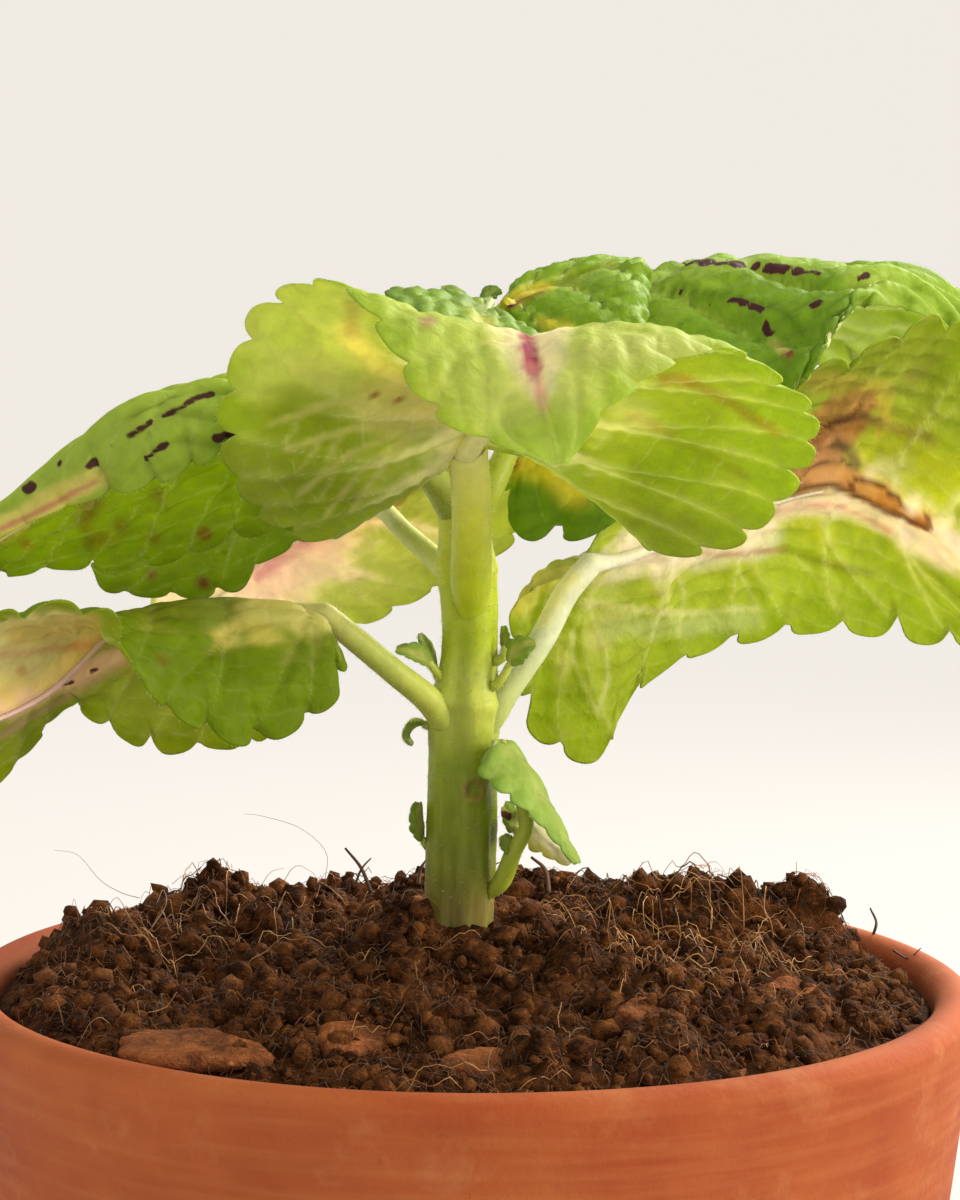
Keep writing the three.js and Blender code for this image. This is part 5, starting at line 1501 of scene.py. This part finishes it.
# %% Young leaf from the axil
leaf_3_axil = {
    "petiole": [[-0.8, 1, 160.5], [-3, 3, 162.5], [-5, 4, 164.5], [-7, 5, 166.5], [-8.5, 6, 168]],
    "midrib": [
        [-8.5, 6, 168], [-13, 5, 167], [-19, 4, 164], [-26, 4, 160], [-33, 3, 157.5], [-39, 2, 155],
        [-43.5, 1, 153],
    ],
    "left": [
        [-7, 4, 167.5], [-6, 1, 165], [-11.5, -1, 160], [-23.5, 0, 154], [-28.5, 1, 150],
        [-41, 0, 149.5], [-44.5, 0, 152.5],
    ],
    "right": [
        [-8.5, 9, 169], [-13, 14, 169], [-21, 18, 167], [-29.5, 18, 163.5], [-38, 14, 159],
        [-43, 8, 155.5], [-44.5, 3, 153.5],
    ],
    "arch": (2, 2), "lobes": 9, "lobe_depth": 2.2, "stalk": (1.1, 0.9), "puff": 0.8, "seed": 7,
    "stalk_tint": GREEN_STALK,
    "paint": {"edge": "#7C9602", "field": "#8AA208", "heart_tint": "#98A81C", "net": 0.2,
              "heart": ([0.1] * 5, [0.1] * 5)},
    "marks": [("top", [(151, 576)], 11, 4, "#8A2A2E", 0.8), ("top", [(204, 582)], 12, 4, "#7A2428", 0.8),
              ("top", [(225, 553)], 5, 2, "#6A2A1E", 0.7)],
}
grow_leaf("leaf_third_axil", "leaf_3_axil", [leaf_3_axil], young_skin, "young_leaf", 120, 20)

# %% [markdown]
# ### The youngest leaves at the tip
#
# Young leaves are smaller, darker and more strongly quilted, with closer veins.

# %% Leaf 4 front and back
leaf_4_front = {
    "petiole": [[1, 0, 180], [1.3, -2, 182], [1.6, -4, 183], [2, -6, 183.5]],
    "midrib": [[2, -6, 183.5], [1.5, -12, 182.5], [1, -20, 181.5], [1.5, -28, 180], [3, -34, 177.5]],
    "right": [[0.5, -6, 184], [-6, -10, 185], [-9, -18, 184.5], [-6.5, -28, 181], [2, -34, 177.5]],
    "left": [[3, -6, 183], [8, -10, 180], [10, -20, 178], [8.5, -28, 177], [4, -34, 177.5]],
    "arch": (0, 0.6), "lobes": 8, "lobe_depth": 1.4, "stalk": (0.9, 0.6), "puff": 1.0, "seed": 8,
    "stalk_tint": GREEN_STALK, "fade_width": 6, "down": 0.35, "down_share": 0.35,
    "spacing": 2.6, "quilt": 0.6,
    "marks": [("both", [(462, 302), (478, 306), (496, 310)], 30, 9, "#6C8A24", 0.8)],
    "paint": {"edge": "#6C8E20", "field": "#7A9C2A", "heart_tint": "#A8B03C",
              "heart": ([0.15, 0.12, 0.1, 0.08, 0.05], [0.15, 0.12, 0.1, 0.08, 0.05])},
}
grow_leaf("leaf_fourth_front", "leaf_4_front", [leaf_4_front], young_skin, "young_leaf", 110, 20)
leaf_4_back = {
    "petiole": [[1, 0, 178.5], [2, 1.5, 180.5], [2.8, 2.4, 181.8], [3.5, 3, 183]],
    "midrib": [[3.5, 3, 183], [6, 5, 184.5], [10.5, 8, 186], [15.5, 12, 188], [20, 16, 189]],
    "left": [[3.5, 5, 184], [5.5, 10, 187], [10, 14, 189], [15.5, 17, 189.5], [19.5, 18, 189.5]],
    "right": [[3.5, 0, 182], [6, -5, 178.5], [11.5, -9, 177.5], [19.5, -5, 180.5], [21.5, 14, 188]],
    "arch": (1.2, 2), "lobes": 8, "lobe_depth": 1.4, "stalk": (0.9, 0.8), "puff": 1.2, "seed": 9,
    "stalk_tint": GREEN_STALK, "fade_width": 6, "down": 0.4, "down_share": 0.5, "spacing": 2.6, "quilt": 0.6,
    "paint": {"edge": "#6C8E0C", "field": "#7CA01C", "heart_tint": "#94A828",
              "heart": ([0.3, 0.2, 0.1, 0.05, 0.05], [0.3, 0.2, 0.1, 0.05, 0.05])},
    "marks": [
        ("top", [(505, 302), (522, 295), (548, 290)], 16, 5, "#D5C73A", 0.85),
        ("top", [(512, 308), (522, 300), (545, 290)], 5, 2, "#8A4A1E", 0.8),
        ("top", [(540, 322), (572, 330)], 12, 5, "#D5C73A", 0.8),
    ],
    "stains": [([(601, 303)], 4), ([(512, 307), (519, 303)], 4)],
}
grow_leaf("leaf_fourth_back", "leaf_4_back", [leaf_4_back], young_skin, "young_leaf", 120, 24)


# %% [markdown]
# ### Small leaves
#
# The growing tip, the axils of the first node, a curled leaf under it, a leaf at the foot
# and the side shoot all have leaves of a few millimetres, made by the same rule.

# %% Small leaves
def small_leaf(petiole, midrib, left, right, lobes, depth, seed, **more):
    """The guides of a small leaf with the settings that suit its size."""
    return {
        "petiole": petiole, "midrib": midrib, "left": left, "right": right, "lobes": lobes,
        "lobe_depth": depth, "seed": seed, "arch": (0.3, 0.3), "fade_width": 2.5, "puff": 0.3,
        "stalk": (0.6, 0.45), "thickness": 0.28, "valley": 0.06, "channel": 0.08, "ridge": 0.06,
        "curl": 0.1, "ripple": 0.15, "slant": 0.8, "spacing": 1.2, "rib_end": 0.12,
        "stalk_sides": 10, "down": 0.35, "down_share": 0.4, "stalk_tint": GREEN_STALK,
        "paint": {"edge": "#76942A", "field": "#8CA638", "heart_tint": "#B2B858",
                  "heart": ([0.2] * 5, [0.2] * 5)},
        **more,
    }


TIP = {"edge": "#587A12", "field": "#688A1A", "heart_tint": "#8A9E30", "heart": ([0.15] * 5, [0.15] * 5)}
SMALL_LEAVES = [
    ("tip_leaf_front", "tip_bud_front", small_leaf(
        [[1, 0.5, 181.5], [1, 1, 182.6], [1, 1, 183.3]],
        [[1, 1, 183.3], [1.6, 0, 184.1], [2.3, -1, 184.9], [3.1, -2, 185.3]],
        [[0.8, 3, 183.9], [1.2, 4, 185.3], [1.8, 3, 185.8], [2.9, 0, 185.6]],
        [[1.4, -1, 183.3], [2.4, -2.6, 184], [3.2, -3, 184.7], [3.4, -3, 185.1]], 4, 0.5, 11, paint=TIP,
    )),
    ("tip_leaf_back", "tip_bud_back", small_leaf(
        [[0.6, 1, 181.5], [0, 1.6, 182.6], [-0.4, 1.4, 183.5]],
        [[-0.4, 1.4, 183.5], [-1.2, 2, 184.4], [-2.4, 3, 185.1], [-3.7, 4, 185.3]],
        [[-0.3, -0.4, 183.4], [-1.4, -0.8, 184], [-2.7, 0.5, 184.8], [-3.8, 3, 185.1]],
        [[-0.1, 4, 184], [-1, 6, 185.3], [-2.2, 7, 185.9], [-3.6, 5, 185.7]], 4, 0.5, 12, paint=TIP,
    )),
    ("axil_leaf_left_front", "axil_left_front", small_leaf(
        [[-0.4, -0.5, 136.5], [-3.5, -2, 140.4], [-4.5, -3, 141.7]],
        [[-4.5, -3, 141.7], [-5.7, -4, 142.7], [-7, -5, 143.4], [-8.4, -5, 143.5]],
        [[-4.8, -3.7, 141.5], [-6.3, -4.5, 142.2], [-7.4, -5.2, 142.8], [-8.5, -5.4, 143.3]],
        [[-4, -2, 142.2], [-5.2, -3, 143.9], [-6.8, -4, 144.2], [-8.3, -4.6, 143.9]], 4, 0.6, 13,
    )),
    ("axil_leaf_left_back", "axil_left_back", small_leaf(
        [[-0.4, 0, 136.5], [-3.3, 0, 139.5], [-3.8, 0, 140.7]],
        [[-3.8, 0, 140.7], [-4.3, 0, 142.1], [-5, -0.6, 143.6], [-5.7, -1, 145.1]],
        [[-4.4, -1, 140.9], [-5.4, -2, 142.3], [-5.6, -2, 143.7], [-5.9, -1.4, 144.9]],
        [[-3.6, 1, 140.8], [-3.9, 2, 142.6], [-4.4, 1.4, 143.9], [-5.5, 0, 145.1]], 4, 0.6, 14,
    )),
    ("axil_leaf_right_front", "axil_right_front", small_leaf(
        [[2.6, -2.6, 138.6], [4, -3, 140.2], [4.8, -2.8, 141.7]],
        [[4.8, -2.8, 141.7], [5.5, -2.8, 142.9], [6.6, -3.2, 143.9], [7.8, -3.2, 144.3]],
        [[4.4, -1.8, 142.2], [4.8, -1.3, 144.2], [6.2, -1.8, 144.9], [7.7, -2.6, 144.6]],
        [[5.2, -3.6, 141.6], [6.1, -4.4, 142], [7, -4.2, 143.1], [7.8, -3.8, 143.9]], 4, 0.6, 15,
    )),
    ("axil_leaf_right_back", "axil_right_back", small_leaf(
        [[2.6, -0.9, 141.6], [4.1, -0.9, 142.4], [4.2, 0.4, 143.2]],
        [[4.2, 0.4, 143.2], [4.1, 1, 143.6], [4.1, 1.2, 144.6], [4.1, 1.2, 145.8]],
        [[3.9, 1.2, 143.1], [3.7, 2.2, 143.7], [3.7, 2.4, 144.7], [3.8, 2, 145.8]],
        [[4.6, -0.2, 143.2], [4.9, 0, 144], [4.7, 0.2, 145], [4.3, 0.4, 146]], 4, 0.5, 16,
    )),
    ("curled_leaf", "hook_leaf", small_leaf(
        [[-1, -1, 134], [-4.4, -1, 134.2], [-5.1, -1, 134.4]],
        [[-5.1, -1, 134.4], [-6.4, -1, 134.2], [-7.1, -1, 133], [-6.4, -1, 132]],
        [[-5.3, 0, 134.2], [-6.2, 0.2, 133.8], [-6.8, 0.2, 132.9], [-6.4, 0, 132.2]],
        [[-5.1, -2, 134.6], [-6.8, -2.2, 134.6], [-7.5, -2.2, 133], [-6.5, -2, 131.9]], 4, 0.4, 17,
    )),
    ("low_leaf_left", "low_leaf", small_leaf(
        [[-2, 0, 118.6], [-4.4, 0, 119.6], [-5.1, 0, 120.5]],
        [[-5.1, 0, 120.5], [-5.5, -0.6, 122.1], [-5.8, -1, 123.6], [-5.7, -0.6, 125]],
        [[-5.6, -1, 120.4], [-6.5, -2, 122], [-6.6, -2, 124.1], [-6.1, -1.4, 125.3]],
        [[-5.1, 1, 120.6], [-5.1, 1.6, 122], [-5.3, 1.4, 123.7], [-5.4, 0.6, 125]], 4, 0.6, 18,
    )),
]
for name, node, leaf in SMALL_LEAVES:
    grow_leaf(name, node, [leaf], young_skin, "young_leaf", 60, 10)

# %% Side shoot
CREAM = {"edge": "#D3D27A", "field": "#E3DF9C", "heart_tint": "#EFEAC4",
         "heart": ([0.4] * 5, [0.4] * 5)}
side_shoot = [
    small_leaf(
        [[0.5, 0, 112.9], [3.9, -2, 115.7], [5.5, -3, 119.7], [7, -3, 123], [5.8, -3, 127.2],
         [4.4, -4.4, 131], [4, -5, 132.8]],
        [[4, -5, 132.8], [5.2, -6, 132.3], [7.6, -7, 128.8], [10.1, -8, 123.8], [12.7, -8, 119.2]],
        [[4.6, -3.4, 132.9], [6, -2, 131.4], [8.4, -2, 127.8], [11, -3.6, 123], [13.2, -6.6, 119.1]],
        [[2.7, -7, 132.6], [1.4, -10, 130.3], [4.5, -12, 127.9], [9, -11, 123.7], [12.3, -9, 119.3]],
        7, 1.1, 19, arch=(0.5, 0.8), stalk=(1.1, 0.6), puff=0.6, down=0.5,
        paint={"edge": "#90B248", "field": "#A2BC54", "heart_tint": "#B0C060",
               "heart": ([0.15] * 5, [0.15] * 5)},
    ),
    small_leaf(
        [[7, -3, 122.6], [6.6, -1, 123.2], [6.2, 1, 123.7]],
        [[6.2, 1, 123.7], [8.4, 1, 121.8], [10.8, 1, 119.5], [12.5, 0, 118]],
        [[6.5, 2, 124.2], [9.2, 3, 123], [11.3, 2.4, 120.6], [12.9, 1, 118.4]],
        [[5.6, 1, 122.9], [6.8, 2, 119.9], [9.4, 2, 118.3], [12, 0.6, 117.4]], 5, 0.7, 20, paint=CREAM,
    ),
    small_leaf(
        [[6.4, -3, 121.4], [5.8, 0, 121.8]], [[5.8, 0, 121.8], [5, 1, 123.1], [4.3, 2, 124.3]],
        [[5.1, 0.2, 121.3], [4.3, 0.6, 122.7], [4.1, 1.2, 124.1]],
        [[6.3, 1, 122.2], [5.8, 3, 124.2], [4.6, 3, 124.8]], 3, 0.5, 21,
        stains=[([(504, 814), (508, 816)], 7)],
    ),
    small_leaf(
        [[5.4, -3, 119], [5.1, -3.2, 119.9]], [[5.1, -3.2, 119.9], [4.6, -3.8, 120.9], [4.1, -4.2, 121.7]],
        [[4.8, -4, 119.5], [4, -4.8, 120.5], [3.9, -4.8, 121.3]],
        [[5.5, -2.6, 120.2], [5.3, -2.8, 121.5], [4.5, -3.6, 122]], 3, 0.4, 22,
    ),
]
grow_leaf("side_shoot_leaves", "side_shoot", side_shoot, young_skin, "young_leaf", 64, 10)


# %% [markdown]
# ## Down
#
# Stem, stalks and leaf edges carry short clear hairs that catch the light. Each one is a
# three-sided needle. They all stand in one mesh. A real hair is a tenth as thick, and is
# drawn thicker here so that it shows.

# %% Hairs
THIRD = 2 * math.pi / 3


def needles(roots, ways, lengths, radius, seed):
    """Three-sided pyramids: three base points round the root, and the tip at root + way."""
    draw = np.random.default_rng(seed)
    ways = unit(ways + 0.45 * draw.normal(size=ways.shape))
    lengths = (lengths * draw.uniform(0.5, 1.15, len(roots)))[:, None]
    side = unit(np.cross(ways, draw.normal(size=ways.shape)))
    other = np.cross(ways, side)
    tips = roots + ways * lengths
    corners = [roots + radius * (side * math.cos(a) + other * math.sin(a)) for a in (0, THIRD, 2 * THIRD)]
    points = np.stack(corners + [tips], 1).reshape(-1, 3)
    faces = np.array([[0, 1, 3], [1, 2, 3], [2, 0, 3], [2, 1, 0]])
    return points, (faces[None] + 4 * np.arange(len(roots))[:, None, None]).reshape(-1, 3)


down_material, tree = new_material("clear plant hair")
skin = {"Base Color": tuple(colour("#F2F4DC")), "Roughness": 0.35, "Sheen Weight": 0.3}
skin = add(tree, "ShaderNodeBsdfPrincipled", skin)
clear = add(tree, "ShaderNodeBsdfTranslucent", {"Color": tuple(colour("#F6F8E2"))})
surface(tree, add(tree, "ShaderNodeMixShader", {0: 0.5, 1: skin.outputs[0], 2: clear.outputs[0]}))
stem_skin = stem_points[:-2]
above = stem_skin[:, 2] > 113.5
remember_down(stem_skin[above], unit(outward + [0, 0, 0.2])[above], 0.6, 0.1, 300)
hairs = needles(np.vstack(tuft_roots), np.vstack(tuft_ways), np.concatenate(tuft_sizes), 0.028, 301)
make_piece("down", *hairs, down_material, "stem", flat=True)
